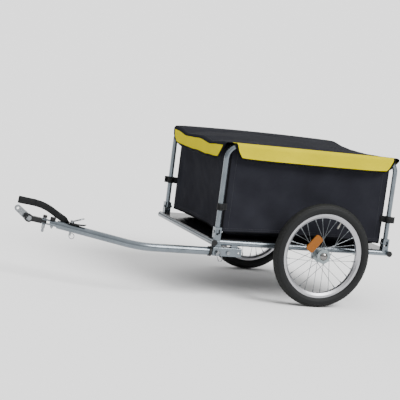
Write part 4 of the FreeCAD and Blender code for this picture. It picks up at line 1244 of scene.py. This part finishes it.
loop_line = loop_path()
end_loop = ribbon("safety_strap_end_loop", loop_line, [loop_side] * len(loop_line), LOOP_THICK, webbing)
loop_lift = loop_up * (SAFETY_THICK * 0.8 + 0.9 * MM)
tail_lift = Vector((0, 0, SAFETY_THICK / 2 + 0.2 * MM))
tail_points = list(zip(strap_line, strap_sides))[:30:3]
strap_seams = [[end_place - loop_ahead * back * MM + loop_side * share + loop_lift for back in (4, 12, 20, 28)]
               for share in (-0.78, -0.3, 0.3, 0.78)]
strap_seams += [[p + s * share + tail_lift for p, s in tail_points] for share in (-0.8, 0.8)]
strap_stitches = polylines("safety_strap_stitches", strap_seams)
run_tree(strap_stitches, STITCHES, Pitch=4.5 * MM, Length=3.4 * MM, Radius=0.5 * MM, Material=thread_grey)
for piece in (safety_strap, end_loop, strap_stitches):
    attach(smooth(piece), "drawbar")
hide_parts("safety_strap")
print("end loop", len(end_loop.data.polygons), "faces")

# %% [markdown]
# The floor is plain and pale and runs into a backdrop of the same brightness. One soft sun stands to the left and
# above, a weak one fills from behind, and the sky is bright overhead and dim at the horizon, which gives the tubes a
# bright line along their tops and darker sides. Area lamps would do the same, but would show in the bright metal.

# %% Floor and light
FLOOR_HALF = 30
FLOOR_ALBEDO = 0.92
SKY_LOW, SKY_HIGH = 0.3, 1.3
# Each sun: its name, the way to it, its strength, and how many degrees wide it is.
SUNS = (("key_sun", (0.6, -0.9, 1.1), 4.4, 35), ("back_sun", (0.3, 0.9, 0.6), 0.7, 60))


def soft_sun(name, from_way, strength, angle):
    """A sun that shines from a direction, with a wide angle for soft shadows."""
    data = bpy.data.lights.new(name, "SUN")
    data.energy, data.angle = strength, math.radians(angle)
    light = bpy.data.objects.new(name, data)
    light.matrix_world = Vector(from_way).to_track_quat("Z", "Y").to_matrix().to_4x4()
    return placed(light)


def floor_brightness():
    """How bright an open floor is under the sky, weighted towards overhead, and the suns."""
    sky = SKY_LOW + (SKY_HIGH - SKY_LOW) * 2 / 3
    suns = sum(power * Vector(way).normalized().z / math.pi for _, way, power, _ in SUNS)
    return FLOOR_ALBEDO * (sky + suns)


def pale_floor():
    """A matt, nearly white floor."""
    material, _, shader = new_material("matt_studio_floor")
    shader.inputs["Base Color"].default_value = (FLOOR_ALBEDO, FLOOR_ALBEDO, FLOOR_ALBEDO, 1)
    shader.inputs["Roughness"].default_value = 1.0
    shader.inputs["Specular IOR Level"].default_value = 0.0
    return material


def studio_sky():
    """A sky that brightens upwards for the light, and matches the floor where it is seen."""
    world = bpy.data.worlds.new("studio")
    world.use_nodes = True
    tree = world.node_tree
    place = add(tree, "ShaderNodeTexCoord")
    parts = add(tree, "ShaderNodeSeparateXYZ", {}, {0: place.outputs["Generated"]})
    glow = spread(tree, parts.outputs["Z"], SKY_LOW, SKY_HIGH)
    seen = add(tree, "ShaderNodeLightPath").outputs["Is Camera Ray"]
    strength = add(tree, "ShaderNodeMix", {"data_type": "FLOAT", 3: floor_brightness()}, {0: seen, 2: glow})
    background = tree.nodes["Background"]
    background.inputs["Color"].default_value = linear("#FFFFFF")
    tree.links.new(strength.outputs[0], background.inputs["Strength"])
    return world


floor_corners = [(-FLOOR_HALF, -FLOOR_HALF, 0), (FLOOR_HALF, -FLOOR_HALF, 0), (FLOOR_HALF, FLOOR_HALF, 0),
                 (-FLOOR_HALF, FLOOR_HALF, 0)]
floor = mesh_object("studio_floor", floor_corners, [(0, 1, 2, 3)])
floor.data.materials.append(pale_floor())
for sun in SUNS:
    soft_sun(*sun)
bpy.context.scene.world = studio_sky()
print("floor brightness", round(floor_brightness(), 2))
